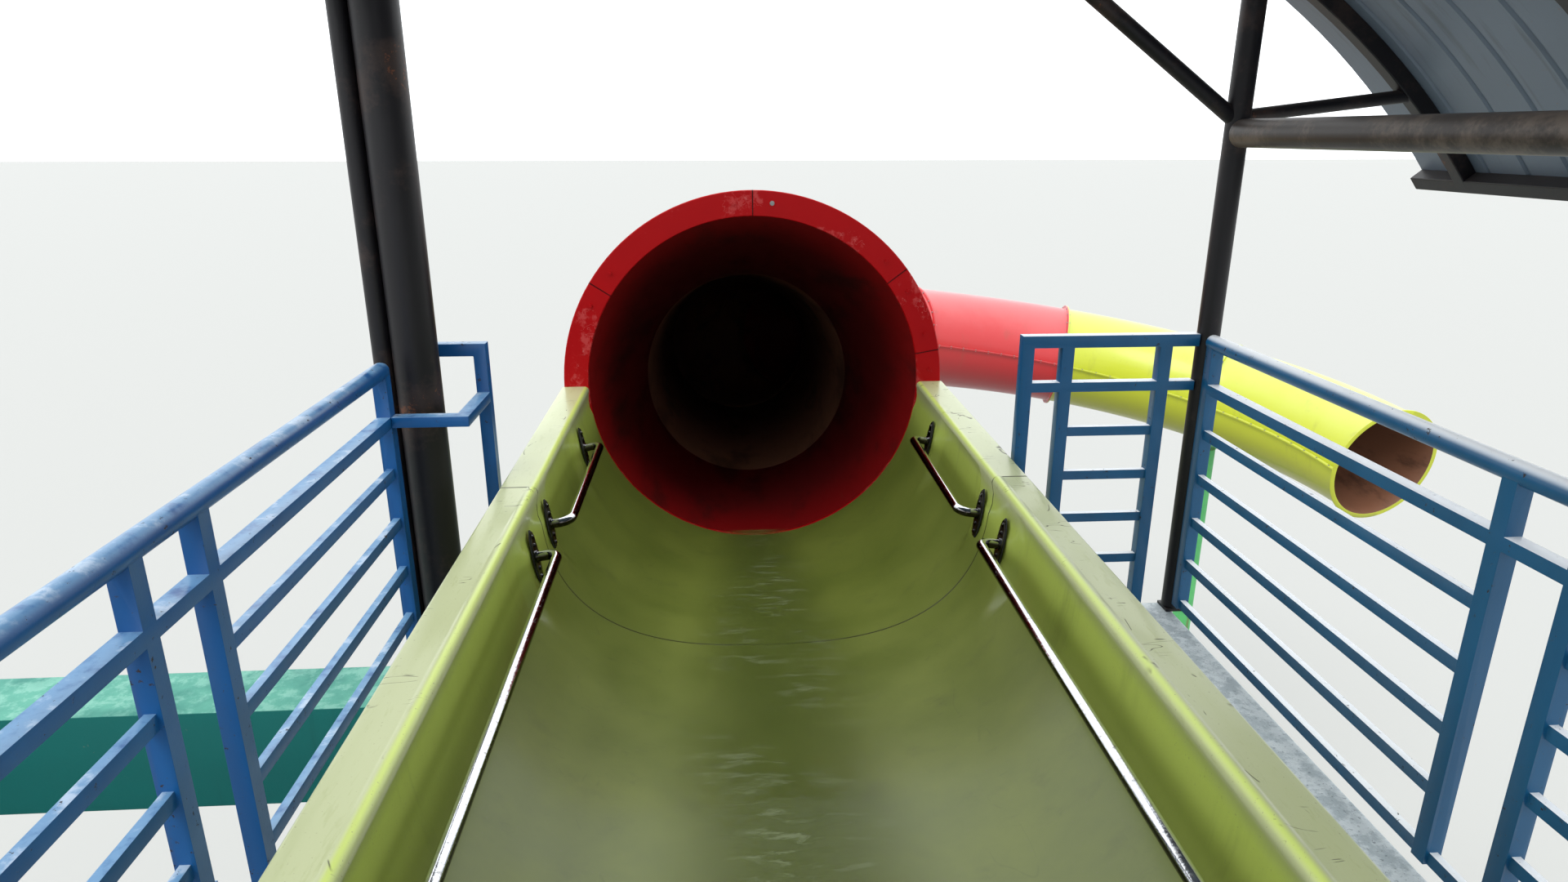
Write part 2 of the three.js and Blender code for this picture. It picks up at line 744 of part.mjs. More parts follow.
function addTub() {
  const skirt = DECK + GAP;
  const rim = TUB_OUT - TUB_IN;
  const x0 = TUB_X - TUB_OUT;
  const x1 = TUB_X + TUB_OUT;
  const inside = TUB_REAR + rim;
  const rearShell = loft([inside - SHELL / 2, TUB_SEAM - GAP].map((y) => tubSection(y, skirt)), false);
  const outer = block(x0, x1, TUB_REAR, inside, skirt, DECK + RIM);
  const hollow = block(
    x0 + SHELL,
    x1 - SHELL,
    TUB_REAR + SHELL,
    inside - SHELL,
    skirt - SHELL,
    DECK + RIM - SHELL,
  );
  const end = geometryOf(solidOf(outer).subtract(solidOf(hollow)));
  add("tub_rear", join([rearShell, end]), gelcoat);
  const steps = 4;
  const rings = [];
  for (let i = 0; i <= steps; i += 1) {
    rings.push(tubSection(THREE.MathUtils.lerp(TUB_SEAM, MOUTH - GAP, i / steps), skirt));
  }
  add("tub_front", loft(rings, false), gelcoat);
}

// Chrome rails

// Point of the trough's wall straight across from the middle of the tub
function wallPoint(y, z, isRight) {
  const tub = group.getObjectByName(y < TUB_SEAM ? "tub_rear" : "tub_front");
  const ray = new THREE.Raycaster(at(TUB_X, y, z), at(isRight ? 1 : -1, 0, 0));
  return ray.intersectObject(tub)[0].point;
}

// A rail from one oval wall plate to another, standing off the wall between them
function chromeRail(start, end, isRight) {
  const z = DECK + RIM - CHROME_DROP;
  const [halfWide, halfHigh, thick] = CHROME_PLATE;
  const oval = [];
  for (let i = 0; i < OVAL_SIDES; i += 1) {
    const angle = (2 * Math.PI * i) / OVAL_SIDES;
    oval.push(new THREE.Vector2(halfWide * Math.cos(angle), halfHigh * Math.sin(angle)));
  }
  // The plate lies on the chord across the curved wall, clear of its nearest point
  const seat = (y) => {
    const hit = (across, high) => wallPoint(y + across, z + high, isRight);
    const up = hit(0, halfHigh).sub(hit(0, -halfHigh)).normalize();
    const along = hit(halfWide, 0).sub(hit(-halfWide, 0)).normalize();
    const normal = new THREE.Vector3().crossVectors(along, up).normalize();
    if (isRight) normal.negate();
    up.crossVectors(normal, along).normalize();
    const middle = hit(0, 0);
    const proud = Math.max(...oval.map((p) => hit(p.x, p.y).sub(middle).dot(normal)));
    return { up, along, normal, middle: middle.addScaledVector(normal, proud + GAP) };
  };
  const seats = { [start]: seat(start), [end]: seat(end) };
  const foot = ({ up, along, normal, middle }) => {
    const rings = [0, thick].map((out) =>
      oval.map((p) =>
        middle.clone().addScaledVector(along, p.x).addScaledVector(up, p.y).addScaledVector(normal, out),
      ),
    );
    return beam(rings);
  };
  const stand = (y, shift, out) => {
    const { normal, middle, along } = seats[y];
    return middle.clone().addScaledVector(normal, out).addScaledVector(along, shift);
  };
  const bend = [
    [0, thick / 2],
    [0, CHROME_STANDOFF - CHROME_BEND],
    [0.13, CHROME_STANDOFF - 0.5 * CHROME_BEND],
    [0.5, CHROME_STANDOFF - 0.13 * CHROME_BEND],
    [1, CHROME_STANDOFF],
  ];
  const route = [
    ...bend.map(([shift, out]) => stand(start, shift * CHROME_BEND, out)),
    ...bend.map(([shift, out]) => stand(end, -shift * CHROME_BEND, out)).reverse(),
  ];
  const { up } = seats[start];
  const rings = route.map((point, i) => {
    const before = route[Math.max(i - 1, 0)];
    const after = route[Math.min(i + 1, route.length - 1)];
    const side = new THREE.Vector3().crossVectors(after.clone().sub(before), up).normalize();
    const ring = [];
    for (let k = 0; k < CHROME_SIDES; k += 1) {
      const angle = (2 * Math.PI * k) / CHROME_SIDES;
      ring.push(
        point
          .clone()
          .addScaledVector(side, CHROME_R * Math.cos(angle))
          .addScaledVector(up, CHROME_R * Math.sin(angle)),
      );
    }
    return ring;
  });
  return join([beam(rings), foot(seats[start]), foot(seats[end])]);
}

function addChromeRails() {
  [false, true].forEach((isRight) => {
    const side = isRight ? "right" : "left";
    add(`short_handle_${side}`, chromeRail(HANDLE_START, HANDLE_END, isRight), chrome);
    add(`grab_rail_${side}`, chromeRail(GRAB_START, GRAB_END, isRight), chrome);
  });
}

// Mouth ring and flume

// Frame of the flume's axis: centre, direction and the two directions across it
function flumeFrame(distance) {
  const straight = TURN_START - FLARE_END;
  const angle = Math.max(0, distance - straight) / TURN_R;
  const y = FLARE_END + Math.min(distance, straight) + TURN_R * Math.sin(angle);
  const x = TUB_X + TURN_R * (1 - Math.cos(angle));
  const z = DECK + RIM - FLARE_DROP - FALL * distance;
  const along = at(Math.sin(angle), Math.cos(angle), -FALL).normalize();
  const across = at(Math.cos(angle), -Math.sin(angle), 0);
  const up = new THREE.Vector3().crossVectors(across, along);
  return { centre: at(x, y, z), along, across, up };
}

function ringAt({ centre, across, up }, radius, sides) {
  const points = [];
  for (let i = 0; i < sides; i += 1) {
    const angle = (2 * Math.PI * i) / sides;
    points.push(
      centre
        .clone()
        .addScaledVector(across, radius * Math.cos(angle))
        .addScaledVector(up, radius * Math.sin(angle)),
    );
  }
  return points;
}

function addMouth() {
  const profile = [
    [TUB_IN, 0],
    [RING_R, 0],
    [RING_R, RING],
    [TUB_IN, RING],
    [TUB_IN, 0],
  ].map(([r, y]) => new THREE.Vector2(r, y));
  const ring = new THREE.LatheGeometry(profile, RING_SIDES).translate(TUB_X, MOUTH, DECK + RIM);
  add("mouth_ring", join([ring]), red);

  const last = flumeFrame(0);
  const start = MOUTH + RING + GAP;
  const steps = 4;
  const outer = [];
  const inner = [];
  for (let i = 0; i <= steps; i += 1) {
    const t = i / steps;
    const ease = THREE.MathUtils.smoothstep(t, 0, 1) * 0.4 + t * 0.6;
    const along = at(0, 1, -FALL * t).normalize();
    const across = at(1, 0, 0);
    const frame = {
      centre: at(TUB_X, start, DECK + RIM).lerp(last.centre.clone().addScaledVector(last.along, -GAP), t),
      across,
      up: new THREE.Vector3().crossVectors(across, along),
    };
    const radius = THREE.MathUtils.lerp(TUB_IN, TUBE_R, ease);
    inner.unshift(ringAt(frame, radius, TUBE_SIDES));
    outer.push(ringAt(frame, radius + SHELL, TUBE_SIDES));
    if (i === steps) {
      const back = { ...frame, centre: frame.centre.clone().addScaledVector(last.along, -FLANGE) };
      outer.pop();
      outer.push(ringAt(back, radius + SHELL, TUBE_SIDES));
      outer.push(ringAt(back, FLANGE_R, TUBE_SIDES));
      outer.push(ringAt(frame, FLANGE_R, TUBE_SIDES));
    }
  }
  add("flare", loft([...outer, ...inner], true), red);
}

// A flume section: two half shells bolted along both sides, with a flange at each end
function flumeSection(from, to, steps) {
  const start = from + GAP;
  const end = to - GAP;
  const flange = (distance) => ringAt(flumeFrame(distance), FLANGE_R, TUBE_SIDES);
  const outer = [flange(start), flange(start + FLANGE)];
  const inner = [];
  const seam = [[], []];
  for (let i = 0; i <= steps; i += 1) {
    const wall = flumeFrame(THREE.MathUtils.lerp(start + FLANGE, end - FLANGE, i / steps));
    const bore = flumeFrame(THREE.MathUtils.lerp(start, end, i / steps));
    outer.push(ringAt(wall, TUBE_R + SHELL, TUBE_SIDES));
    inner.unshift(ringAt(bore, TUBE_R, TUBE_SIDES));
    [1, -1].forEach((side, n) => {
      const near = TUBE_R + SHELL / 3;
      const corner = (r, h) =>
        bore.centre.clone().addScaledVector(bore.across, side * r).addScaledVector(bore.up, h);
      const [low, high] = [-FLANGE / 2, FLANGE / 2];
      seam[n].push([
        corner(near, low),
        corner(FLANGE_R, low),
        corner(FLANGE_R, high),
        corner(near, high),
      ]);
    });
  }
  outer.push(flange(end - FLANGE), flange(end));
  const tube = loft([...outer, ...inner], true);
  return join([tube, ...seam.map((rings) => beam(rings))]);
}

const STRAIGHT = TURN_START - FLARE_END;
const JOINTS = [0, STRAIGHT];
for (let i = 1; i <= TURN_SECTIONS; i += 1) JOINTS.push(STRAIGHT + i * TURN_STEP * TURN_R);

function addFlume() {
  const colours = [yellow, yellow, red, red, yellow, yellow];
  colours.forEach((colour, i) => {
    const steps = i === 0 ? 1 : 3;
    add(`flume_section_${i + 1}`, flumeSection(JOINTS[i], JOINTS[i + 1], steps), colour);
  });
}

// A post under a joint: base plate, pipe, cross arm, two struts and a saddle round the flanges
function flumePost(distance) {
  const { centre, along, across, up } = flumeFrame(distance);
  const inner = FLANGE_R + 3 * GAP;
  const outer = inner + SADDLE;
  const corner = (r, i) => {
    const angle = (2 * Math.PI * i) / TUBE_SIDES;
    return new THREE.Vector2(r * Math.cos(angle), r * Math.sin(angle));
  };
  const band = [];
  for (let i = SADDLE_FROM; i <= SADDLE_TO; i += 1) band.push(corner(inner - SADDLE, i));
  for (let i = SADDLE_TO; i >= SADDLE_FROM; i -= 1) band.push(corner(outer, i));
  const bore = [];
  for (let i = 0; i < TUBE_SIDES; i += 1) bore.push(corner(inner, i));
  const from = (offset) => centre.clone().addScaledVector(along, offset);
  const saddle = plate(band, from(SADDLE_WIDTH / 2), across, up, SADDLE_WIDTH);
  const room = plate(bore, from(ARM), across, up, 2 * ARM);
  const seat = centre.clone().addScaledVector(up, -outer + SADDLE / 2);
  const head = seat.z - ARM / 2;
  const armAt = (side) => at(seat.x, seat.y, head).addScaledVector(across, side);
  const arm = bar(armAt(-ARM_REACH), armAt(ARM_REACH), ARM, ARM);
  const struts = [1, -1].map((side) => {
    const touch = corner(outer - SADDLE / 2, side > 0 ? SADDLE_TO - 1 : SADDLE_FROM + 1);
    const strutTop = centre.clone().addScaledVector(across, touch.x).addScaledVector(up, touch.y);
    return bar(armAt(side * (ARM_REACH - ARM / 2)), strutTop, STRUT, STRUT);
  });
  const [foot, top] = [at(seat.x, seat.y, BASE_PLATE / 2), at(seat.x, seat.y, head)];
  const column = pipe(foot, top, PIPE_POST_R, POST_SIDES);
  const half = BASE_WIDTH / 2;
  const base = block(seat.x - half, seat.x + half, seat.y - half, seat.y + half, 0, BASE_PLATE);
  const post = [saddle, arm, ...struts, column, base].map(solidOf).reduce((sum, piece) => sum.add(piece));
  return geometryOf(post.subtract(solidOf(room)));
}

function addFlumePosts() {
  [0, 1, 3, 5].forEach((joint, i) => {
    add(`flume_post_${i + 1}`, flumePost(JOINTS[joint]), green);
  });
}

// Roof

const roofAngle = (x) => Math.acos((x - ROOF_X) / ROOF_R);

// An arch of the vault between two radii, made thick along the slide from y
function arch(inner, outer, y, thickness, segments) {
  const from = roofAngle(ROOF_RIGHT);
  const to = roofAngle(ROOF_LEFT);
  const points = [];
  const spot = (r, i) => {
    const angle = THREE.MathUtils.lerp(from, to, i / segments);
    points.push(new THREE.Vector2(r * Math.cos(angle), r * Math.sin(angle)));
  };
  for (let i = 0; i <= segments; i += 1) spot(inner, i);
  for (let i = segments; i >= 0; i -= 1) spot(outer, i);
  return plate(points, at(ROOF_X, y + thickness, DECK + ROOF_Z), at(1, 0, 0), at(0, 0, 1), thickness);
}

// Height of the ribs' underside over a place across the deck
const ribUnder = (x) => DECK + ROOF_Z + Math.sqrt((ROOF_R - RIB) ** 2 - (x - ROOF_X) ** 2);

function addRoof() {
  const ribLast = RIB_FIRST - (RIB_COUNT - 1) * RIB_STEP;
  const front = RIB_FIRST + SHEET_OVERHANG;
  const rear = ribLast - SHEET_OVERHANG;
  const ribs = [];
  for (let i = 0; i < RIB_COUNT; i += 1) {
    const y = RIB_FIRST - i * RIB_STEP;
    ribs.push(arch(ROOF_R - RIB, ROOF_R, y - RIB / 2, RIB, ROOF_SEGMENTS));
  }
  const skin = solidOf(arch(ROOF_R - RIB, ROOF_R, rear, front - rear, ROOF_SEGMENTS));
  const eaveZ = DECK + ROOF_Z + ROOF_R * Math.sin(roofAngle(ROOF_RIGHT));
  const low = block(ROOF_X, ROOF_RIGHT + RIB, rear, front, DECK, eaveZ + RIB);
  const left = block(ROOF_LEFT - RIB, ROOF_LEFT + RIB, rear, front, DECK, DECK + ROOF_R);
  const eaves = [low, left].map((piece) => geometryOf(skin.intersect(solidOf(piece))));
  add("roof_ribs", join([...ribs, ...eaves]), black);
  add("roof_sheet", arch(ROOF_R + GAP, ROOF_R + GAP + SHEET, rear, front - rear, ROOF_SEGMENTS), roofSheet);

  const foot = DECK + GAP;
  const ribRoom = solidOf(arch(ROOF_R - RIB - GAP, ROOF_R, rear, front - rear, ROOF_SEGMENTS));
  const bearerFoot = (x) => Math.min(ribUnder(x - BEARER / 2), ribUnder(x + BEARER / 2)) - BEARER;
  const bearer = (x) => {
    const bottom = bearerFoot(x);
    const half = BEARER / 2;
    const tall = block(x - half, x + half, rear + RIB, front - RIB, bottom, bottom + BEARER + RIB);
    const parts = solidOf(tall).subtract(ribRoom).decompose();
    const height = (piece) => piece.boundingBox().min[2];
    return geometryOf(parts.reduce((lowest, piece) => (height(piece) < height(lowest) ? piece : lowest)));
  };
  const post = (x, y, radius) =>
    join([
      pipe(at(x, y, foot), at(x, y, bearerFoot(x) - GAP), radius, POST_SIDES),
      block(x - radius, x + radius, y - radius, y + radius, foot, foot + FOOT_PLATE),
    ]);
  add("roof_post_front_right", post(POST_RIGHT_X, RIB_FIRST, POST_RIGHT_R), black);
  add("roof_post_rear_right", post(POST_RIGHT_X, RAILING_REAR, POST_RIGHT_R), black);
  add("roof_post_front_left", post(POST_LEFT_X, POST_LEFT_Y, POST_LEFT_R), black);
  add("roof_post_rear_left", post(POST_LEFT_X, POST_REAR_LEFT_Y, POST_LEFT_R), black);
  add("roof_bearer_right", bearer(POST_RIGHT_X), black);
  add("roof_bearer_left", bearer(POST_LEFT_X), black);

  // Side pipe at eye height between the right posts, brace and outrigger at the front right post
  const y0 = RAILING_REAR + POST_RIGHT_R + GAP;
  const y1 = RIB_FIRST - POST_RIGHT_R - GAP;
  const side = (y, z, x = POST_RIGHT_X) => at(x, y, DECK + z);
  add("roof_side_pipe", pipe(side(y0, EYE_RAIL_Z), side(y1, EYE_RAIL_Z), EYE_RAIL_R), black);
  const taken = [
    pipe(side(RIB_FIRST, 0), side(RIB_FIRST, ROOF_R), POST_RIGHT_R + GAP, POST_SIDES),
    arch(ROOF_R - RIB - GAP, ROOF_R + 2 * RIB, RIB_FIRST - 2 * RIB, 4 * RIB, ROOF_SEGMENTS),
    block(
      POST_RIGHT_X - BEARER / 2 - GAP,
      POST_RIGHT_X + BEARER / 2 + GAP,
      y0,
      RIB_FIRST + RIB,
      ribUnder(POST_RIGHT_X) - 3 * BEARER,
      DECK + ROOF_R,
    ),
  ].map(solidOf);
  const trimmed = (geometry) =>
    geometryOf(taken.reduce((rest, piece) => rest.subtract(piece), solidOf(geometry)));
  const headZ = (x) => ribUnder(x) - DECK + RIB / 2;
  const braceFoot = side(RIB_FIRST, BRACE_FOOT_Z);
  const braceHead = side(RIB_FIRST, headZ(BRACE_HEAD_X), BRACE_HEAD_X);
  add("roof_brace", trimmed(pipe(braceFoot, braceHead, BRACE_R)), black);
  const strutFoot = side(RIB_FIRST, EYE_RAIL_Z + RIB);
  const strutHead = side(RIB_FIRST, headZ(OUTRIGGER_X), OUTRIGGER_X);
  add("roof_outrigger", trimmed(pipe(strutFoot, strutHead, OUTRIGGER_R)), black);
  const drainX = POST_LEFT_X - POST_LEFT_R - DRAIN_R - 2 * GAP;
  const drain = pipe(at(drainX, POST_LEFT_Y, foot), at(drainX, POST_LEFT_Y, DECK + DRAIN_TOP), DRAIN_R);
  add("drain_pipe", drain, black);
}

addConcreteFrame();
addStair();
addDeck();
addDeckRailings();
addLowerLandingRailing();
addStairRailings();
addTub();
addChromeRails();
addMouth();
addFlume();
addFlumePosts();
addRoof();

// The origin is the middle of the ground the whole part covers
const extent = new THREE.Box3().setFromObject(group);
const middle = extent.getCenter(new THREE.Vector3());
group.position.set(-middle.x, -middle.y, -extent.min.z);
group.updateMatrixWorld(true);

export default group;
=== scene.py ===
from math import acos, cos, pi, radians, sin, sqrt
import bmesh
import bpy
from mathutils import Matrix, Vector


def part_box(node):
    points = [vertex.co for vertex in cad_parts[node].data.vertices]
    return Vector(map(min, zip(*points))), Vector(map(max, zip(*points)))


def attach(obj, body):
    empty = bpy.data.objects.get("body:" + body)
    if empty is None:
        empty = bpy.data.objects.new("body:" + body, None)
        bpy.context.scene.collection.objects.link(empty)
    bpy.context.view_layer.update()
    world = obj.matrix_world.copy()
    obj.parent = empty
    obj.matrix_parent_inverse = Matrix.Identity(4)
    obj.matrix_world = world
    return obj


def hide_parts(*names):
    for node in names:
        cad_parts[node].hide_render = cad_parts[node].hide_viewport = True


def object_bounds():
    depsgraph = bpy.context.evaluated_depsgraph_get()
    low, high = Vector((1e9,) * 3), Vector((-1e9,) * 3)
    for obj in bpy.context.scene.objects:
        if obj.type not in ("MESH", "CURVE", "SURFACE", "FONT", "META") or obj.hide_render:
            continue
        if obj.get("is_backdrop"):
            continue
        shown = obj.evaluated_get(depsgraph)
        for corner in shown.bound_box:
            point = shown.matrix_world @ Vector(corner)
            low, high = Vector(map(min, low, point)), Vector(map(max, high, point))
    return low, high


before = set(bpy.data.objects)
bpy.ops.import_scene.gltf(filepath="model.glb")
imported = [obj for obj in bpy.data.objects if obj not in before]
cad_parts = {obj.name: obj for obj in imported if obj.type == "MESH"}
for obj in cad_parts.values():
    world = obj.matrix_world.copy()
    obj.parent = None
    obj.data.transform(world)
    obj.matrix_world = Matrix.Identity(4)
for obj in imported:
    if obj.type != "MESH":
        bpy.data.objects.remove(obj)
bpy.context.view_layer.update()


# Concrete frame: six square columns cast in place, tied by beams at both levels.
# It is painted with teal masonry paint, faded pale on top and streaked by rain.


class Value:
    """A socket of a node tree, so that sums on it read as sums."""

    def __init__(self, nodes, socket):
        self.nodes = nodes
        self.socket = socket

    def work(self, operation, *terms):
        return self.nodes.add("ShaderNodeMath", {"operation": operation}, dict(enumerate(terms)))["Value"]

    def __add__(self, other):
        return self.work("ADD", self, other)

    __radd__ = __add__

    def __sub__(self, other):
        return self.work("SUBTRACT", self, other)

    def __rsub__(self, other):
        return self.work("SUBTRACT", other, self)

    def __mul__(self, other):
        return self.work("MULTIPLY", self, other)

    __rmul__ = __mul__

    def __mod__(self, other):
        return self.work("MODULO", self, other)

    def __gt__(self, other):
        return self.work("GREATER_THAN", self, other)

    def between(self, low, high):
        """0 at low, 1 at high and smooth between."""
        ends = {"Value": self, "From Min": low, "From Max": high}
        return self.nodes.add("ShaderNodeMapRange", {"interpolation_type": "SMOOTHSTEP"}, ends)["Result"]

    def line(self, middle, half):
        """1 at a middle value, down to 0 a half width to either side of it."""
        return self.between(middle - half, middle) * (1 - self.between(middle, middle + half))


class Nodes:
    """A node tree that is filled by one method."""

    def __init__(self, tree):
        self.tree = tree

    def add(self, kind, settings=None, inputs=None):
        """Adds a node: its settings come first, then the values or links of its sockets."""
        made = self.tree.nodes.new(kind)
        for key, value in (settings or {}).items():
            setattr(made, key, value)
        for key, value in (inputs or {}).items():
            for term in value if isinstance(value, list) else [value]:
                if isinstance(term, Value):
                    self.tree.links.new(term.socket, made.inputs[key])
                else:
                    made.inputs[key].default_value = term
        return {s.name: Value(self, s) for s in made.outputs if s.enabled}


class Finish(Nodes):
    """The surface of one kind of part."""

    def __init__(self, name, **fixed):
        self.material = bpy.data.materials.new(name)
        self.material.use_nodes = True
        super().__init__(self.material.node_tree)
        self.shader = self.tree.nodes["Principled BSDF"]
        for socket, value in fixed.items():
            self.shader.inputs[socket.replace("_", " ")].default_value = value
        self.place = self.add("ShaderNodeTexCoord")["Object"]
        facing = self.add("ShaderNodeNewGeometry")["Normal"]
        self.up = self.add("ShaderNodeSeparateXYZ", {}, {0: facing})["Z"]

    def along(self, axis):
        """How far along X, Y or Z."""
        return self.add("ShaderNodeSeparateXYZ", {}, {0: self.place})[axis]

    def cloud(self, scale, detail=4.0, rough=0.55, stretch=(1, 1, 1), shift=(0, 0, 0)):
        """Soft random patches from 0 to 1, about scale of them to a metre."""
        moved = {"Vector": self.place, "Location": shift, "Scale": stretch}
        where = self.add("ShaderNodeMapping", {}, moved)["Vector"]
        sizes = {"Vector": where, "Scale": scale, "Detail": detail, "Roughness": rough}
        return self.add("ShaderNodeTexNoise", {}, sizes)["Fac"]

    def blend(self, first, second, share):
        """A colour between two others, which are blends themselves or read from a screen."""
        first, second = [rgb(*c) if isinstance(c, tuple) else c for c in (first, second)]
        return self.add("ShaderNodeMix", {"data_type": "RGBA"}, {0: share, 6: first, 7: second})["Result"]

    def over(self, colour, share):
        """Lays a share of one more colour over the tone so far."""
        self.tone = self.blend(self.tone, colour, share)

    def feed(self, socket, value):
        """Links a value to a socket of the shader."""
        self.tree.links.new(value.socket, self.shader.inputs[socket])

    def coat(self, roughness, height, depth, strength=1.0):
        """Joins the tone, the roughness and the relief to the shader."""
        self.feed("Base Color", self.tone)
        self.feed("Roughness", roughness)
        relief = {"Height": height, "Distance": depth, "Strength": strength}
        self.feed("Normal", self.add("ShaderNodeBump", {}, relief)["Normal"])


def rgb(red, green, blue):
    """A colour as read from a screen, from 0 to 255, in linear light."""
    parts = [v / 255 for v in (red, green, blue)]
    return tuple(((v + 0.055) / 1.055) ** 2.4 if v > 0.04 else v / 12.92 for v in parts) + (1.0,)


def new_object(name, data):
    """An object in the scene, at its origin."""
    made = bpy.data.objects.new(name, data)
    bpy.context.scene.collection.objects.link(made)
    return made


def hand_in(piece, nodes):
    """Works the modifiers into a plain mesh, sets the piece on the root body, and hides the CAD parts it
    stands for.
    """
    bpy.context.view_layer.update()
    if piece.modifiers:
        worked = piece.evaluated_get(bpy.context.evaluated_depsgraph_get())
        mesh = bpy.data.meshes.new_from_object(worked)
        piece.modifiers.clear()
        piece.data = mesh
    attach(piece, "root")
    if nodes:
        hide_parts(*nodes)
    return piece


def settle(name, shape, finish, nodes=(), crease=35, ease=0.0, wall=0.0):
    """A worked shape becomes a piece of the tower, with eased edges or a wall if it needs them."""
    mesh = bpy.data.meshes.new(name)
    shape.to_mesh(mesh)
    shape.free()
    mesh.materials.append(finish.material)
    mesh.shade_smooth()
    if crease:
        mesh.set_sharp_from_angle(angle=radians(crease))
    piece = new_object(name, mesh)
    if wall:
        skin = piece.modifiers.new("wall", "SOLIDIFY")
        skin.thickness = wall
        skin.offset = -1
    if ease:
        round_over = piece.modifiers.new("ease", "BEVEL")
        round_over.width = ease
        round_over.segments = 2
        round_over.limit_method = "ANGLE"
        round_over.angle_limit = radians(32)
        round_over.harden_normals = True
    return hand_in(piece, nodes)


def whole(names):
    """The CAD parts of these names as one shape, with every flat face in one piece."""
    shape = bmesh.new()
    for name in names:
        shape.from_mesh(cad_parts[name].data)
    bmesh.ops.remove_doubles(shape, verts=shape.verts, dist=0.00005)
    bmesh.ops.dissolve_limit(shape, angle_limit=radians(1), verts=shape.verts, edges=shape.edges)
    return shape


teal = Finish("teal masonry paint", Specular_IOR_Level=0.25)
streaks = teal.cloud(3.0, 5, 0.6, (2.2, 2.2, 0.16))
patches = teal.cloud(1.6, 6, 0.62)
pores = teal.cloud(120.0, 3, 0.5)
flaking = teal.cloud(11.0, 6, 0.7, shift=(5, 2, 1))
top_fade = teal.up.between(0.3, 0.9) * patches.between(0.25, 0.6)
teal.tone = teal.blend((4, 84, 80), (8, 102, 96), patches)
teal.over((5, 52, 52), streaks.between(0.52, 0.78) * 0.6)
teal.over((92, 158, 140), top_fade)
teal.over((128, 180, 164), top_fade * flaking.between(0.46, 0.6) * 0.8)
teal.over((100, 108, 98), (pores * 0.4 + flaking).between(0.9, 0.96) * 0.8)
lifts = {"Vector": teal.place, "Scale": 1.6, "Distortion": 0.4}
boards = teal.add("ShaderNodeTexWave", {"bands_direction": "Z"}, lifts)["Fac"]
teal.coat(0.6 + 0.3 * patches, pores * 0.4 + boards * 0.5 + flaking, 0.002)

framing = [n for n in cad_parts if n.endswith("_frame") or "_beam_" in n]
settle("painted_frame", whole(framing), teal, framing, crease=None, ease=0.012)


# Deck and stair: reinforced concrete, with a floated top to the deck and sloping soffits to the flights.
# They are left bare, and feet, water and salts have speckled them grey and white.

concrete = Finish("floated concrete")
blotches = concrete.cloud(2.4, 6, 0.65)
grit = concrete.cloud(85.0, 3, 0.65)
salts = concrete.cloud(16.0, 6, 0.72)
puddles = concrete.cloud(4.5, 5, 0.6, shift=(7, 1, 0))
treads = concrete.up.between(0.5, 0.9)
concrete.tone = concrete.blend((164, 174, 180), (192, 202, 206), blotches)
concrete.over((214, 221, 224), salts.between(0.42, 0.58) * treads)
concrete.over((92, 104, 112), grit.between(0.6, 0.66) * 0.6 * treads)
concrete.over((84, 88, 84), puddles.between(0.66, 0.76) * 0.35 * treads)
concrete.over((132, 132, 126), (1 - treads) * 0.7)
concrete.over((90, 88, 82), (1 - treads) * blotches.between(0.55, 0.75) * 0.6)
concrete.coat(0.75 + 0.2 * grit, grit * 0.6 + salts, 0.003)

settle("launch_deck", whole(["deck_slab"]), concrete, ["deck_slab"], crease=None, ease=0.008)
flights = [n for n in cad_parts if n.startswith("stair_flight")]
settle("stair_flights", whole(flights), concrete, flights, crease=None, ease=0.008)


# Railings: ladders of flat steel bar between square posts, under a round handrail, welded up in panels.
# They have blue gloss paint, chalked nearly white where sun and hands reach the tops, and chipped to rust.
# That near-white is partly a painted reflection of the sky, strongest on the tops towards the right,
# and the rails under the roof get a greyer blue as painted shade.

blue = Finish("blue gloss paint", Specular_IOR_Level=0.4)
wear = blue.cloud(9.0, 6, 0.65)
chips = blue.cloud(46.0, 4, 0.7)
drips = blue.cloud(6.0, 4, 0.6, (1, 1, 0.25))
brush = blue.cloud(180.0, 2, 0.5)
right_rail_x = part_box("right_railing")[0].x
sun_reach = 2.2
sunny = blue.along("X").between(right_rail_x - sun_reach, right_rail_x)
chalk_and_sheen = blue.up.between(0.35, 0.95)
# Two copies of the blue: the first for rails in open light, the second greyer as painted shade under the
# roof.
blue_lit_in_open = blue.blend((6, 60, 116), (20, 90, 150), drips)
blue_shaded_under_roof = blue.blend((12, 70, 108), (24, 94, 138), drips)
blue.tone = blue.blend(blue_lit_in_open, blue_shaded_under_roof, sunny)
# Paler and near-white tops: chalk, and towards the right also a painted reflection of the sky.
blue.over((98, 140, 178), chalk_and_sheen * (wear + 0.2 * sunny).between(0.3, 0.5))
blue.over((244, 247, 250), chalk_and_sheen * (wear + 0.32 * sunny).between(0.52, 0.64) * (0.3 + 0.65 * sunny))
rusted = chips.between(0.63, 0.67) * wear.between(0.44, 0.58)
blue.over((46, 34, 34), rusted)
blue.coat(0.22 + 0.25 * wear + 0.3 * rusted, wear * 0.3 + brush * 0.15 - rusted, 0.0008)


def bar_through(shape, rings):
    """A closed bar through rings of points, with all of its faces turned outwards."""
    rings = [[shape.verts.new(point) for point in ring] for ring in rings]
    faces = [shape.faces.new(rings[0]), shape.faces.new(rings[-1])]
    for first, second in zip(rings, rings[1:]):
        for k in range(len(first)):
            n = (k + 1) % len(first)
            faces.append(shape.faces.new((first[k], first[n], second[n], second[k])))
    bmesh.ops.recalc_face_normals(shape, faces=faces)


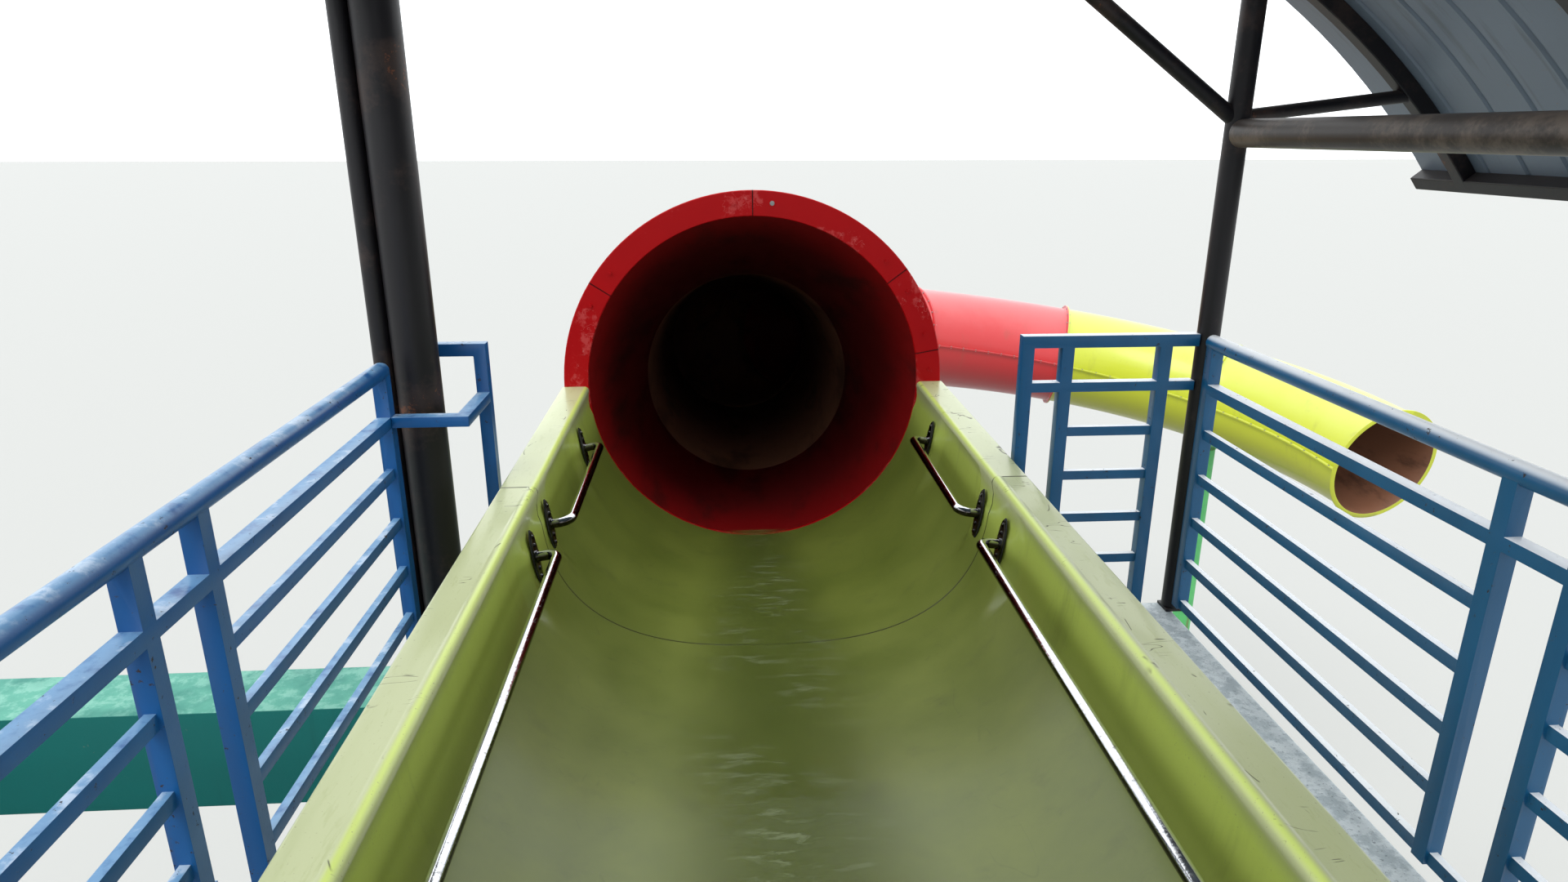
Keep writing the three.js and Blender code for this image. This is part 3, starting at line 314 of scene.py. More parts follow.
def tube(shape, route, radius, sides=32, domed=False):
    """A round bar along a route of points, with flat or domed ends."""
    spots = [(point, radius) for point in route]
    if domed:
        out = [(route[0] - route[1]).normalized(), (route[-1] - route[-2]).normalized()]
        for step in (0.5, 0.85, 0.99):
            flat = radius * sqrt(1 - step * step)
            spots.insert(0, (route[0] + out[0] * radius * step, flat))
            spots.append((route[-1] + out[1] * radius * step, flat))
    points = [spot for spot, _ in spots]
    side = (points[1] - points[0]).orthogonal().normalized()
    rings = []
    for i, (point, size) in enumerate(spots):
        run = (points[min(i + 1, len(points) - 1)] - points[max(i - 1, 0)]).normalized()
        side = (side - run * side.dot(run)).normalized()
        over = run.cross(side)
        turns = [2 * pi * k / sides for k in range(sides)]
        rings.append([point + (side * cos(a) + over * sin(a)) * size for a in turns])
    bar_through(shape, rings)


handrail_radius = 0.03
painted_radius = handrail_radius + 0.0006
dome_room = 0.018
square_topped = ("front_railing", "left_railing_return")
handrails = bmesh.new()
for name in [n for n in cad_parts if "railing" in n]:
    settle("painted_" + name, whole([name]), blue, [name], crease=None, ease=0.0025)
    if name in square_topped or name.startswith(("stair_", "well_", "lower_")):
        continue
    low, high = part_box(name)
    level = high.z - handrail_radius
    if high.y - low.y > high.x - low.x:
        ends = [Vector(((low.x + high.x) / 2, y, level)) for y in (low.y, high.y)]
    else:
        ends = [Vector((x, (low.y + high.y) / 2, level)) for x in (low.x, high.x)]
    if name == "left_railing":
        ends[1].y -= dome_room
    tube(handrails, ends, painted_radius, domed=name == "left_railing")
low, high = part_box("lower_landing_railing")
level = high.z - handrail_radius
guard_x = (low.x + handrail_radius, high.x - handrail_radius)
for x in guard_x:
    tube(handrails, [Vector((x, y, level)) for y in (low.y, high.y)], painted_radius)
rear = low.y + handrail_radius
tube(handrails, [Vector((x, rear, level)) for x in guard_x], painted_radius)
settle("round_handrails", handrails, blue)


# Start tub: two glass fibre mouldings with a gelcoat face, bolted together across the rim.
# The walls are hollowed behind the rails for the hands, and the wet part has gone olive with algae.
# The wet wall is also painted darker further below the rim, as shade in the trough.

tub_low, tub_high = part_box("tub_rear")
front_low, front_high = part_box("tub_front")
tub_x = (tub_low.x + tub_high.x) / 2
deck_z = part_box("deck_slab")[1].z
rim_z = tub_high.z
seam_y = tub_high.y
mouth_y = front_high.y
rim_width = 0.141
rim_round = 0.01
lip_round = 0.022
end_round = 0.003
joint_gap = 0.003
moulding_wall = 0.007
corner_radius = 0.12
hollow_depth = 0.03
hollow_ramp = 0.09
hollow_top = (0.028, 0.05)
hollow_foot = (0.3, 0.46)
ledge_foot = (0.12, 0.135)
ledge_share = 0.3
rear_depth = 0.51
seam_depth = 0.70
rear_squareness = 3.2
seam_squareness = 2.7
mouth_squareness = 2.0
half_inside = (tub_high.x - tub_low.x) / 2 - rim_width
end_wall = tub_low.y + rim_width

lime = Finish("pale green gelcoat", Coat_Weight=0.3, Coat_Roughness=0.15)
depth_below = rim_z - lime.along("Z")
inwards = lime.along("X") - tub_x
outside = (inwards * inwards).between((half_inside + 0.12) ** 2, (half_inside + 0.135) ** 2)
behind = 1 - lime.along("Y").between(tub_low.y + 0.006, tub_low.y + 0.021)
outside = outside.work("MAXIMUM", outside, behind)
stains = lime.cloud(3.0, 5, 0.6, (1, 1, 0.5))
haze = lime.cloud(1.3, 5, 0.55)
runs = lime.cloud(7.0, 4, 0.6, (1, 1, 0.15))
scuffs = lime.cloud(60.0, 3, 0.6, (1.0, 0.2, 1.0))
specks = lime.cloud(150.0, 2, 0.5)
marks = lime.cloud(6.0, 1, 0.5, (1, 0.35, 1), (4, 1, 0)).line(0.5, 0.008)
marks = marks * lime.cloud(7.0, 3, 0.6, shift=(3, 3, 3)).between(0.56, 0.6)
grain = lime.cloud(14.0, 1, 0.5, (0.4, 2.5, 1), (1, 8, 0)).line(0.5, 0.018)
marks = marks + grain * lime.cloud(6.0, 3, 0.6, shift=(9, 3, 5)).between(0.58, 0.62)
lime.tone = lime.blend((178, 186, 134), (196, 202, 158), haze)
lime.over((164, 172, 112), scuffs.between(0.56, 0.7) * 0.35)
# Algae with painted shade: bright yellow-green just under the rim to dark olive lower down.
algae_and_depth_shade = lime.blend((186, 206, 96), (84, 98, 36), depth_below.between(0.06, 0.36))
algae_and_depth_shade = lime.blend(algae_and_depth_shade, (166, 174, 80), stains * 0.45)
algae_and_depth_shade = lime.blend(algae_and_depth_shade, (88, 96, 44), runs.between(0.55, 0.75) * 0.35)
wet = (depth_below + (stains - 0.5) * 0.04).between(0.014, 0.12) * (1 - outside)
lime.over(algae_and_depth_shade, wet)
grimy = (depth_below + runs * 0.3).between(0.5, 0.95) * outside
lime.over((122, 126, 88), grimy * 0.5)
# Painted highlight: a bright yellow-green line along the rim's inner edge.
rim_edge_highlight = (inwards * inwards).line((half_inside + 0.014) ** 2, 0.03)
rim_edge_highlight = rim_edge_highlight * (1 - depth_below.between(0.004, 0.016))
lime.over((206, 224, 116), rim_edge_highlight)
seam_dirt = (lime.along("Y") + (runs - 0.5) * 0.003).line(seam_y + 0.002, 0.008)
lime.over((62, 64, 38), seam_dirt)
marks = marks * (1 - 0.85 * wet) * (0.12 + 0.88 * lime.up.between(0.5, 0.9))
lime.over((58, 56, 40), marks * 0.9)
lime.over((120, 116, 84), specks.between(0.68, 0.74) * 0.5)
lime.coat(0.26 + 0.22 * stains + 0.2 * marks, haze + 0.06 * scuffs - 0.06 * marks, 0.004)

pockets = []
for node in ("grab_rail_left", "short_handle_left"):
    low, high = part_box(node)
    pockets.append((low.y + 0.1, high.y - 0.1))


def smooth(value, low, high):
    """0 at low, 1 at high and smooth between."""
    share = min(max((value - low) / (high - low), 0.0), 1.0)
    return share * share * (3 - 2 * share)


def trough(y):
    """Depth and squareness of the trough's section at a place along the slide."""
    if y <= seam_y:
        start, end = (rear_depth, rear_squareness), (seam_depth, seam_squareness)
        share = (y - tub_low.y) / (seam_y - tub_low.y)
    else:
        start, end = (seam_depth, seam_squareness), (half_inside, mouth_squareness)
        share = (y - seam_y) / (mouth_y - seam_y)
    return tuple(a + (b - a) * share for a, b in zip(start, end))


def tub_wall(y, turn, hollowed=True):
    """Half width and drop of the trough's wall, turned from the rim at 0 to the floor at a quarter turn."""
    depth, square = trough(y)
    drop = depth * sin(turn) ** (2 / square)
    half = half_inside * cos(turn) ** (2 / square) if turn < pi / 2 - 0.0001 else 0.0
    if hollowed:
        deep = smooth(drop, *hollow_top) * (1 - smooth(drop, *hollow_foot))
        ramps = [smooth(y, a, a + hollow_ramp) * (1 - smooth(y, b - hollow_ramp, b)) for a, b in pockets]
        ledge = ledge_share * (1 - smooth(drop, *ledge_foot))
        half += hollow_depth * deep * max(*ramps, ledge)
    return half, drop


def rim_layers(lip):
    """The moulding from its skirt up over the rim: how far out from the trough, and how far down."""
    skirt = rim_z - deck_z - 0.0004
    layers = [(rim_width - 0.012, skirt), (rim_width, skirt), (rim_width, rim_round)]
    for step in range(1, 4):
        turn = pi / 6 * step
        layers.append((rim_width - rim_round * (1 - cos(turn)), rim_round * (1 - sin(turn))))
    layers += [(0.09, 0.0), (0.042, 0.0), (0.036, -0.25 * lip), (0.03, -lip), (lip_round, -lip)]
    for step in range(1, 6):
        turn = pi / 10 * step
        layers.append((lip_round - lip_round * sin(turn), (0.024 + lip) * (1 - cos(turn)) - lip))
    return layers


def stations(start, end, is_rear):
    """Places along the slide, close together where the hand hollows begin and end."""
    places = {start + (end - start) * i / 20 for i in range(1, 20)}
    for hollow in pockets:
        for edge, way in ((hollow[0], 1), (hollow[1], -1)):
            places |= {edge + way * 0.011 * i for i in range(-1, 10)}
    places |= {start + 0.001, end - 0.001}
    if is_rear:
        places |= {end - end_round * i for i in (0.15, 0.5, 1, 1.6)}
    return [start, *sorted(p for p in places if start < p < end), end]


def tub_skin(places, lip, is_rear):
    """The face of one moulding: lines that run along one side, round the end and back along the other."""
    shape = bmesh.new()
    layers = [*rim_layers(lip), *[pi / 2 * i / 36 for i in range(1, 37)]]
    rows = []
    for layer in layers:
        is_rim = isinstance(layer, tuple)
        side = []
        for y in reversed(places):
            half, drop = (half_inside + layer[0], layer[1]) if is_rim else tub_wall(y, layer)
            if is_rear and places[-1] - y < end_round:
                drop += end_round - sqrt(max(end_round**2 - (end_round - places[-1] + y) ** 2, 0))
            side.append((half, y, drop))
        if is_rear:
            half, drop = side[-1][0], side[-1][2]
            out = layer[0] if is_rim else 0.0
            slope = 0.0 if is_rim else 0.1 * (1 - cos(layer)) ** 2
            rear = end_wall - out + slope
            radius = min(corner_radius - 0.5 * out, half)
            for step in range(1, 9):
                turn = pi / 16 * step
                side.append((half - radius * (1 - cos(turn)), rear + radius * (1 - sin(turn)), drop))
            side += [((half - radius) * share, rear, drop) for share in (0.66, 0.33, 0.0)]
        places_out = [[(tub_x + way * h, y, rim_z - d) for h, y, d in side] for way in (-1, 1)]
        rows.append([[shape.verts.new(place) for place in half] for half in places_out])
    for (left_a, right_a), (left_b, right_b) in zip(rows, rows[1:]):
        for i in range(len(left_a) - 1):
            shape.faces.new((left_a[i], left_b[i], left_b[i + 1], left_a[i + 1]))
            shape.faces.new((right_a[i], right_a[i + 1], right_b[i + 1], right_b[i]))
    bmesh.ops.remove_doubles(shape, verts=shape.verts, dist=0.0002)
    bmesh.ops.dissolve_degenerate(shape, edges=shape.edges, dist=0.0001)
    bmesh.ops.recalc_face_normals(shape, faces=shape.faces)
    if max(shape.faces, key=lambda f: f.calc_center_median().z).normal.z < 0:
        bmesh.ops.reverse_faces(shape, faces=shape.faces)
    return shape


corner_start = tub_low.y + 0.27
rear_lip = 0.005
rear_skin = tub_skin(stations(corner_start, seam_y, True), rear_lip, True)
settle("tub_rear_moulding", rear_skin, lime, ["tub_rear"], crease=50, wall=moulding_wall)
front_skin = tub_skin(stations(front_low.y + joint_gap, mouth_y, False), 0.0, False)
settle("tub_front_moulding", front_skin, lime, ["tub_front"], crease=50, wall=moulding_wall)


# Water in the tub: a shallow still sheet that lies on the trough's floor as far as the mouth.
# It is clear, a little green from the gelcoat under it, and small waves run across it, with painted glints
# as light streaks on their crests.

water = Finish("shallow water", IOR=1.33, Specular_IOR_Level=0.2)
ripple = water.cloud(8.0, 3, 0.5, (1, 0.6, 1))
murk = water.cloud(2.0, 3, 0.5)
water.tone = water.blend((70, 84, 36), (106, 116, 56), murk)
# Painted glints: thin lighter streaks on the wave crests.
crest_glints = water.cloud(24.0, 4, 0.65, (0.3, 1, 1), (2, 5, 0)).between(0.47, 0.68)
crest_glints = crest_glints * water.cloud(2.2, 3, 0.5, shift=(6, 2, 0)).between(0.36, 0.6)
water.over((150, 160, 128), crest_glints * 0.55)
water.coat(0.04 + 0.04 * murk, ripple + crest_glints * 0.4, 0.012, 0.6)
shore = water.add("ShaderNodeAttribute", {"attribute_name": "shore"})["Fac"]
body = (0.42 + 0.3 * murk + 0.2 * crest_glints) * (1 - shore.between(0.0, 0.95))
water.feed("Alpha", body)

water_depth = 0.035
water_rear = end_wall + 0.14
water_front = mouth_y - 0.01
shore_steps = 6
pool_steps = 40
pool = bmesh.new()
edge_share = pool.verts.layers.float.new("shore")
rows = []
for step in range(pool_steps + 1):
    y = water_rear + (water_front - water_rear) * step / pool_steps
    depth, square = trough(y)
    share = 1 - water_depth / depth
    half = half_inside * (1 - share**square) ** (1 / square)
    level = rim_z - depth + water_depth
    across = range(-shore_steps, shore_steps + 1)
    rows.append([pool.verts.new((tub_x + half * k / shore_steps, y, level)) for k in across])
    for k, vert in zip(across, rows[-1]):
        vert[edge_share] = max(abs(k), shore_steps - step) / shore_steps
for first, second in zip(rows, rows[1:]):
    for k in range(2 * shore_steps):
        pool.faces.new((first[k], first[k + 1], second[k + 1], second[k]))
settle("tub_water", pool, water)


# Grab rails: bent chromed tube welded to tall oval plates, on black rubber pads, screwed to the tub wall.
# A short handle is by the mouth on each side, and a long rail runs back past the seat.

chrome = Finish("worn chrome", Metallic=1.0)
pits = chrome.cloud(70.0, 3, 0.6)
rubbed = chrome.cloud(160.0, 2, 0.5, (1, 0.08, 1))
tarnish = pits.between(0.55, 0.72)
# Painted reflection: faces that point sideways or down are dark and tops bright, standing in for dark
# surroundings and the sky.
chrome.tone = chrome.blend((66, 60, 58), (222, 224, 228), chrome.up.between(0.25, 0.85))
chrome.over((132, 126, 116), tarnish * 0.5)
chrome.coat(0.06 + 0.2 * tarnish + 0.06 * rubbed, pits, 0.0003)

# The wall plates are dark partly from tarnish and partly as a painted dark reflection of their
# surroundings.
plate_steel = Finish("tarnished plate", Metallic=1.0)
dulled = plate_steel.cloud(34.0, 4, 0.6, (1, 0.6, 0.3))
plate_steel.tone = plate_steel.blend((58, 56, 52), (128, 126, 120), dulled.between(0.5, 0.72))
plate_steel.coat(0.16 + 0.3 * dulled, dulled, 0.0004)

rubber = Finish("black rubber pad")
bloom = rubber.cloud(160.0, 3, 0.6)
rubber.tone = rubber.blend((16, 16, 18), (44, 44, 46), bloom)
rubber.coat(0.6 + 0.2 * bloom, bloom, 0.0005)

zinc = Finish("zinc plated steel", Metallic=0.9)
dull = zinc.cloud(90.0, 4, 0.6)
zinc.tone = zinc.blend((190, 192, 194), (120, 116, 110), dull)
zinc.coat(0.3 + 0.3 * dull, dull, 0.0005)


class Recipe(Nodes):
    """A geometry tree with named sizes, which grows a plain mesh from the points it is given."""

    def __init__(self, name, **sizes):
        super().__init__(bpy.data.node_groups.new(name, "GeometryNodeTree"))
        sockets = self.tree.interface
        sockets.new_socket("Geometry", in_out="OUTPUT", socket_type="NodeSocketGeometry")
        sockets.new_socket("Points", in_out="INPUT", socket_type="NodeSocketGeometry")
        self.names = {}
        for label, value in sizes.items():
            kind = "NodeSocketInt" if isinstance(value, int) else "NodeSocketFloat"
            socket = sockets.new_socket(label.replace("_", " "), in_out="INPUT", socket_type=kind)
            socket.default_value = value
            self.names[label] = socket.identifier
        given = self.add("NodeGroupInput")
        self.points = given["Points"]
        self.size = {label: given[label.replace("_", " ")] for label in sizes}

    def end(self, geometry, finish):
        """Ends the tree: copies made real, and the finish set."""
        real = self.add("GeometryNodeRealizeInstances", {}, {"Geometry": geometry})["Geometry"]
        done = self.add("GeometryNodeSetMaterial", {}, {"Geometry": real, "Material": finish.material})
        self.add("NodeGroupOutput", {}, {"Geometry": done["Geometry"]})

    def grow(self, name, slot, spots=(), nodes=(), **sizes):
        """Runs the tree on points that each have a direction, and keeps the result as a piece."""
        base = bpy.data.meshes.new(name)
        base.from_pydata([spot for spot, _ in spots], [], [])
        if spots:
            facing = base.attributes.new("facing", "FLOAT_VECTOR", "POINT")
            facing.data.foreach_set("vector", [v for _, way in spots for v in way])
        piece = new_object(name, base)
        modifier = piece.modifiers.new("recipe", "NODES")
        modifier.node_group = self.tree
        for label, value in sizes.items():
            modifier[self.names[label]] = value
        hand_in(piece, nodes)
        piece.data.shade_smooth()
        piece.data.set_sharp_from_angle(angle=radians(35))


def bolt_recipe(name, finish, head_sides):
    """Bolts on washers that stand on points and face away from the surface."""
    recipe = Recipe(name, head_radius=0.011, head_height=0.008, washer_radius=0.015, washer_height=0.002)
    vector = {"data_type": "FLOAT_VECTOR"}
    facing = recipe.add("GeometryNodeInputNamedAttribute", vector, {"Name": "facing"})["Attribute"]
    turn = recipe.add("FunctionNodeAlignRotationToVector", {"axis": "Z"}, {"Vector": facing})
    size = recipe.size
    washer = (16, size["washer_radius"], size["washer_height"], size["washer_height"] * 0.5)
    head_lift = size["washer_height"] + size["head_height"] * 0.5
    head = (head_sides, size["head_radius"], size["head_height"], head_lift)
    stack = []
    for sides, radius, height, lift in (washer, head):
        sizes = {"Vertices": sides, "Radius": radius, "Depth": height}
        drum = recipe.add("GeometryNodeMeshCylinder", {}, sizes)["Mesh"]
        place = recipe.add("ShaderNodeCombineXYZ", {}, {"Z": lift})["Vector"]
        raised = recipe.add("GeometryNodeTransform", {}, {"Geometry": drum, "Translation": place})
        stack.append(raised["Geometry"])
    bolt = recipe.add("GeometryNodeJoinGeometry", {}, {"Geometry": stack})["Geometry"]
    spread = {"Points": recipe.points, "Instance": bolt, "Rotation": turn["Rotation"]}
    recipe.end(recipe.add("GeometryNodeInstanceOnPoints", {}, spread)["Instances"], finish)
    return recipe


bolts = bolt_recipe("hexagon bolts", zinc, 6)
screws = bolt_recipe("chrome screws", chrome, 12)


def oval(shape, middle, along, up, out, half_wide, half_high, thick, ease=0.0015):
    """A flat oval plate that lies against a wall."""
    rings = []
    turns = [2 * pi * k / 32 for k in range(32)]
    for inset, lift in ((0, 0), (0, thick - ease), (ease, thick), (half_wide * 0.8, thick)):
        wide, high = along * (half_wide - inset), up * (half_high - inset)
        rings.append([middle + wide * cos(turn) + high * sin(turn) + out * lift for turn in turns])
    bar_through(shape, rings)


plate_half_high = 0.105
plate_half_wide = 0.037
pad_thick = 0.004
plate_thick = 0.005
rail_radius = 0.0191
weld_radius = 0.024
rail_stand_off = 0.04
rail_bend = 0.045
screw_heights = (-0.078, -0.045, 0.045, 0.078)


def wall_seat(node, y):
    """Middle of a wall plate, with the directions up and out of the tub wall there."""
    low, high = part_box(node)
    way = 1 if node.endswith("right") else -1
    middle_z = (low.z + high.z) / 2
    reach = (high.z - low.z) / 2 - 0.004
    turns = [pi / 2 * i / 400 for i in range(401)]
    found = []
    for z in (middle_z - reach, middle_z, middle_z + reach):
        half, drop = min((tub_wall(y, t, False) for t in turns), key=lambda w: abs(rim_z - w[1] - z))
        found.append(Vector((tub_x + way * half, y, rim_z - drop)))
    up = (found[2] - found[0]).normalized()
    out = Vector((0, 1, 0)).cross(up).normalized()
    if out.x * way > 0:
        out.negate()
    lift = max((spot - found[0]).dot(out) for spot in found)
    return (found[0] + found[2]) / 2 + out * (lift + 0.0005), up, out


rails = bmesh.new()
plates = bmesh.new()
pads = bmesh.new()
screw_spots = []
forward = Vector((0, 1, 0))
chrome_nodes = [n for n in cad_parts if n.startswith(("short_handle", "grab_rail"))]
for node in chrome_nodes:
    low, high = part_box(node)
    route = []
    for y, inward in ((low.y + plate_half_wide, 1), (high.y - plate_half_wide, -1)):
        middle, up, out = wall_seat(node, y)
        face = pad_thick + plate_thick
        oval(pads, middle, forward, up, out, plate_half_wide + 0.001, plate_half_high, pad_thick)
        seat = middle + out * pad_thick
        oval(plates, seat, forward, up, out, plate_half_wide - 0.004, plate_half_high - 0.006, plate_thick)
        screw_spots += [(middle + out * face + up * height, out) for height in screw_heights]
        bend = [middle + out * (face - 0.003)]
        for step in range(9):
            turn = pi / 16 * step
            back = forward * inward * rail_bend * (1 - cos(turn))
            bend.append(middle + (back + out * (rail_stand_off + rail_bend * sin(turn))))
        route = bend if not route else route + list(reversed(bend))
        tube(rails, [middle + out * (face - 0.001), middle + out * (face + 0.005)], weld_radius)
    tube(rails, route, rail_radius)
settle("chrome_rails", rails, chrome, chrome_nodes, crease=40)
settle("rail_plates", plates, plate_steel, crease=40)
settle("rail_pads", pads, rubber, crease=40)
screws.grow("rail_screws", "chrome", screw_spots, head_radius=0.006, head_height=0.003, washer_radius=0.008)


# Mouth ring: a flat glass fibre flange in five curved lengths, bolted up round the end of the tub.
# Its red gelcoat has faded a little, with pale dust and scratches, and the joints show as dark lines.

red_ring = Finish("red gelcoat of the ring", Specular_IOR_Level=0.12)
fading = red_ring.cloud(2.0, 5, 0.6)
dust = red_ring.cloud(26.0, 5, 0.65)
nicked = red_ring.cloud(4.0, 2, 0.5, shift=(2, 6, 1)).between(0.55, 0.6)
nicks = red_ring.cloud(9.0, 3, 0.6).line(0.5, 0.006) * nicked
red_ring.tone = red_ring.blend((150, 6, 12), (180, 12, 18), fading)
red_ring.over((204, 92, 92), (dust * 0.5 + nicked * 0.1).between(0.33, 0.42) * 0.4)
red_ring.over((226, 170, 168), nicks * 0.22)
seam_degrees = (10, 37, 90, 147, -108)
rise = red_ring.along("Z") - rim_z
turned = rise.work("ARCTAN2", rise, red_ring.along("X") - tub_x)
for degrees in seam_degrees:
    red_ring.over((24, 4, 6), turned.line(radians(degrees), 0.006))
red_ring.coat(0.28 + 0.2 * fading, fading + dust * 0.1, 0.003)

ring_low, ring_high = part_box("mouth_ring")
ring_radius = (ring_high.z - ring_low.z) / 2
ring_z = (ring_low.z + ring_high.z) / 2
edge = 0.004
near_side = [(half_inside, edge), (half_inside + edge, 0), (ring_radius - edge, 0), (ring_radius, edge)]
ring_section = [(r, ring_low.y + d) for r, d in near_side]
ring_section += [(r, ring_high.y - d) for r, d in reversed(near_side)]
seams = [radians(degrees % 360) for degrees in seam_degrees]
seam_gap = 0.0003
bolt_circle = 0.94
ring = bmesh.new()
for start, end in zip(seams, [*seams[1:], seams[0] + 2 * pi]):
    count = round((end - start) / radians(3))
    rings = []
    for i in range(count + 1):
        turn = start + seam_gap + (end - start - 2 * seam_gap) * i / count
        rings.append([(tub_x + r * cos(turn), y, ring_z + r * sin(turn)) for r, y in ring_section])
    bar_through(ring, rings)
settle("mouth_ring_lengths", ring, red_ring, ["mouth_ring"])
bare_bolt = []
painted_bolts = []
for seam in seams:
    for degrees in (-6, 6):
        turn = seam + radians(degrees)
        spot = Vector((tub_x + bolt_circle * cos(turn), ring_low.y, ring_z + bolt_circle * sin(turn)))
        is_bare = abs(turn - radians(84)) < radians(1)
        (bare_bolt if is_bare else painted_bolts).append((spot, -forward))
bolts.grow("ring_bolt_bare", "chrome", bare_bolt, head_radius=0.009, washer_radius=0.012)
red_bolts = bolt_recipe("painted bolts", red_ring, 6)
red_bolts.grow("ring_bolts_painted", "red_gelcoat", painted_bolts, head_radius=0.009, washer_radius=0.012)


# Flare: one glass fibre funnel from the mouth ring down to the bore of the flume, with a bolting flange.
# The outside is red gelcoat bleached on top, with its lower faces painted darker as shade.
# The inside has gone dark with water, algae and scuffs, and is painted darker further from the mouth as
# shade.


def gelcoat(name, deep, plain, bleached):
    """Gelcoat of one colour outdoors: painted darker on lower faces as shade, bleached on top, with rain
    streaks and dust.
    """
    finish = Finish(name, Coat_Weight=0.3, Coat_Roughness=0.15)
    clouds = finish.cloud(1.4, 5, 0.6)
    rain = finish.cloud(5.0, 5, 0.6, (1, 1, 0.2))
    dirt = finish.cloud(22.0, 6, 0.7)
    # Painted shade: faces that point down take the deep tone.
    finish.tone = finish.blend(deep, plain, finish.up.between(-0.9, 0.25))
    finish.over(bleached, (finish.up + (clouds - 0.5) * 0.5).between(0.25, 0.95) * 0.85)
    finish.over((70, 62, 50), dirt.between(0.62, 0.74) * 0.25)
    finish.over((96, 84, 60), rain.between(0.58, 0.76) * 0.2)
    finish.coat(0.28 + 0.25 * clouds, clouds + 0.1 * dirt, 0.004)
    return finish


def bore(name, near_mouth, deep):
    """The wet inside of a shell: dark, streaked along the water's way, and lighter near the mouth, painted
    darker further in as shade.
    """
    finish = Finish(name, Coat_Weight=0.2, Coat_Roughness=0.2)
    slime = finish.cloud(3.0, 6, 0.65, (1, 0.3, 1))
    scrapes = finish.cloud(40.0, 4, 0.6, (1, 0.06, 1))
    # Painted shade: the bore darkens from the mouth inwards.
    shade = (finish.along("Y") + (slime - 0.5) * 0.2).between(mouth_y, mouth_y + 0.75)
    finish.tone = finish.blend(near_mouth, deep, shade)
    finish.over((20, 12, 8), slime.between(0.5, 0.7) * 0.6)
    finish.over((110, 60, 50), scrapes.between(0.62, 0.74) * 0.25)
    finish.coat(0.35 + 0.25 * slime, slime + 0.2 * scrapes, 0.003)
    return finish


red_shell = gelcoat("red gelcoat", (140, 10, 16), (190, 34, 38), (200, 96, 98))
yellow_shell = gelcoat("lemon gelcoat", (140, 142, 14), (184, 192, 36), (194, 200, 96))
red_bore = bore("wet red bore", (140, 10, 14), (88, 8, 11))
yellow_bore = bore("wet lemon bore", (120, 80, 60), (116, 78, 58))

bore_radius = 0.685
shell_radius = 0.697
flange_radius = 0.745
eased_radius = 0.7435
fall = 0.15
flare_length = 1.55
flare_steps = 16
half_joint = 0.0004
axis_drop = 0.32
straight = 3.5
turn_radius = 4.0
turn_step = radians(34.1)
round_sides = 72
flume_start = mouth_y + flare_length


def axis_at(distance):
    """Centre of the flume a distance along it, with the directions across, up and along."""
    angle = max(0.0, distance - straight) / turn_radius
    centre = Vector((
        tub_x + turn_radius * (1 - cos(angle)),
        flume_start + min(distance, straight) + turn_radius * sin(angle),
        rim_z - axis_drop - fall * distance,
    ))
    along = Vector((sin(angle), cos(angle), -fall)).normalized()
    across = Vector((cos(angle), -sin(angle), 0.0))
    return centre, across, across.cross(along), along


def round_shell(shape, hoops, inner_from):
    """A closed shell through hoops of centre, across, up and radius: its face, then back along its bore."""
    turns = [2 * pi * k / round_sides for k in range(round_sides)]
    rings = []
    for centre, across, up, radius in hoops:
        spots = [centre + (across * cos(a) + up * sin(a)) * radius for a in turns]
        rings.append([shape.verts.new(spot) for spot in spots])
    for i, first in enumerate(rings):
        second = rings[(i + 1) % len(rings)]
        for k in range(round_sides):
            n = (k + 1) % round_sides
            face = shape.faces.new((first[k], second[k], second[n], first[n]))
            face.material_index = 1 if i >= inner_from else 0


def settle_shell(name, shape, outside, inside, node):
    """A shell piece with one finish outside and another on its bore."""
    bmesh.ops.recalc_face_normals(shape, faces=shape.faces)
    piece = settle(name, shape, outside, [node], crease=40)
    piece.data.materials.append(inside.material)
    return piece


flare_start = Vector((tub_x, ring_high.y + 0.0003, rim_z))
bore_end, bore_across, bore_up, bore_along = axis_at(0)
flare_hoops = []
inner_hoops = []
for step in range(flare_steps + 1):
    share = step / flare_steps
    ease = 0.4 * smooth(share, 0, 1) + 0.6 * share
    centre = flare_start.lerp(bore_end - bore_along * half_joint, share)
    up = Vector((1, 0, 0)).cross(Vector((0, 1, -fall * share)).normalized())
    radius = half_inside + (bore_radius - half_inside) * ease
    if step < flare_steps:
        flare_hoops.append((centre, bore_across, up, radius + shell_radius - bore_radius))
    inner_hoops.insert(0, (centre, bore_across, up, radius))
flange_section = [(0.034, shell_radius), (0.02, shell_radius + 0.004), (0.0155, 0.71), (0.0145, 0.743)]
flange_section += [(0.013, flange_radius), (0.0015, flange_radius), (half_joint, eased_radius)]
for back, radius in flange_section:
    flare_hoops.append((bore_end - bore_along * back, bore_across, bore_up, radius))
flare = bmesh.new()
round_shell(flare, flare_hoops + inner_hoops, len(flare_hoops) - 1)
settle_shell("flare_funnel", flare, red_shell, red_bore, "flare")


# Flume: six lengths of tube, each of two glass fibre halves with flanges bolted up along both sides.
# The lengths are bolted end to end. The tops have bleached and the lower faces are painted darker as shade.
# The bores are dark and wet, and partly painted dark as shade.


def four_corners(inner, outer, near, far):
    """A flat section, from its inner near corner round to its inner far one."""
    return [(inner, near), (outer, near), (outer, far), (inner, far)]


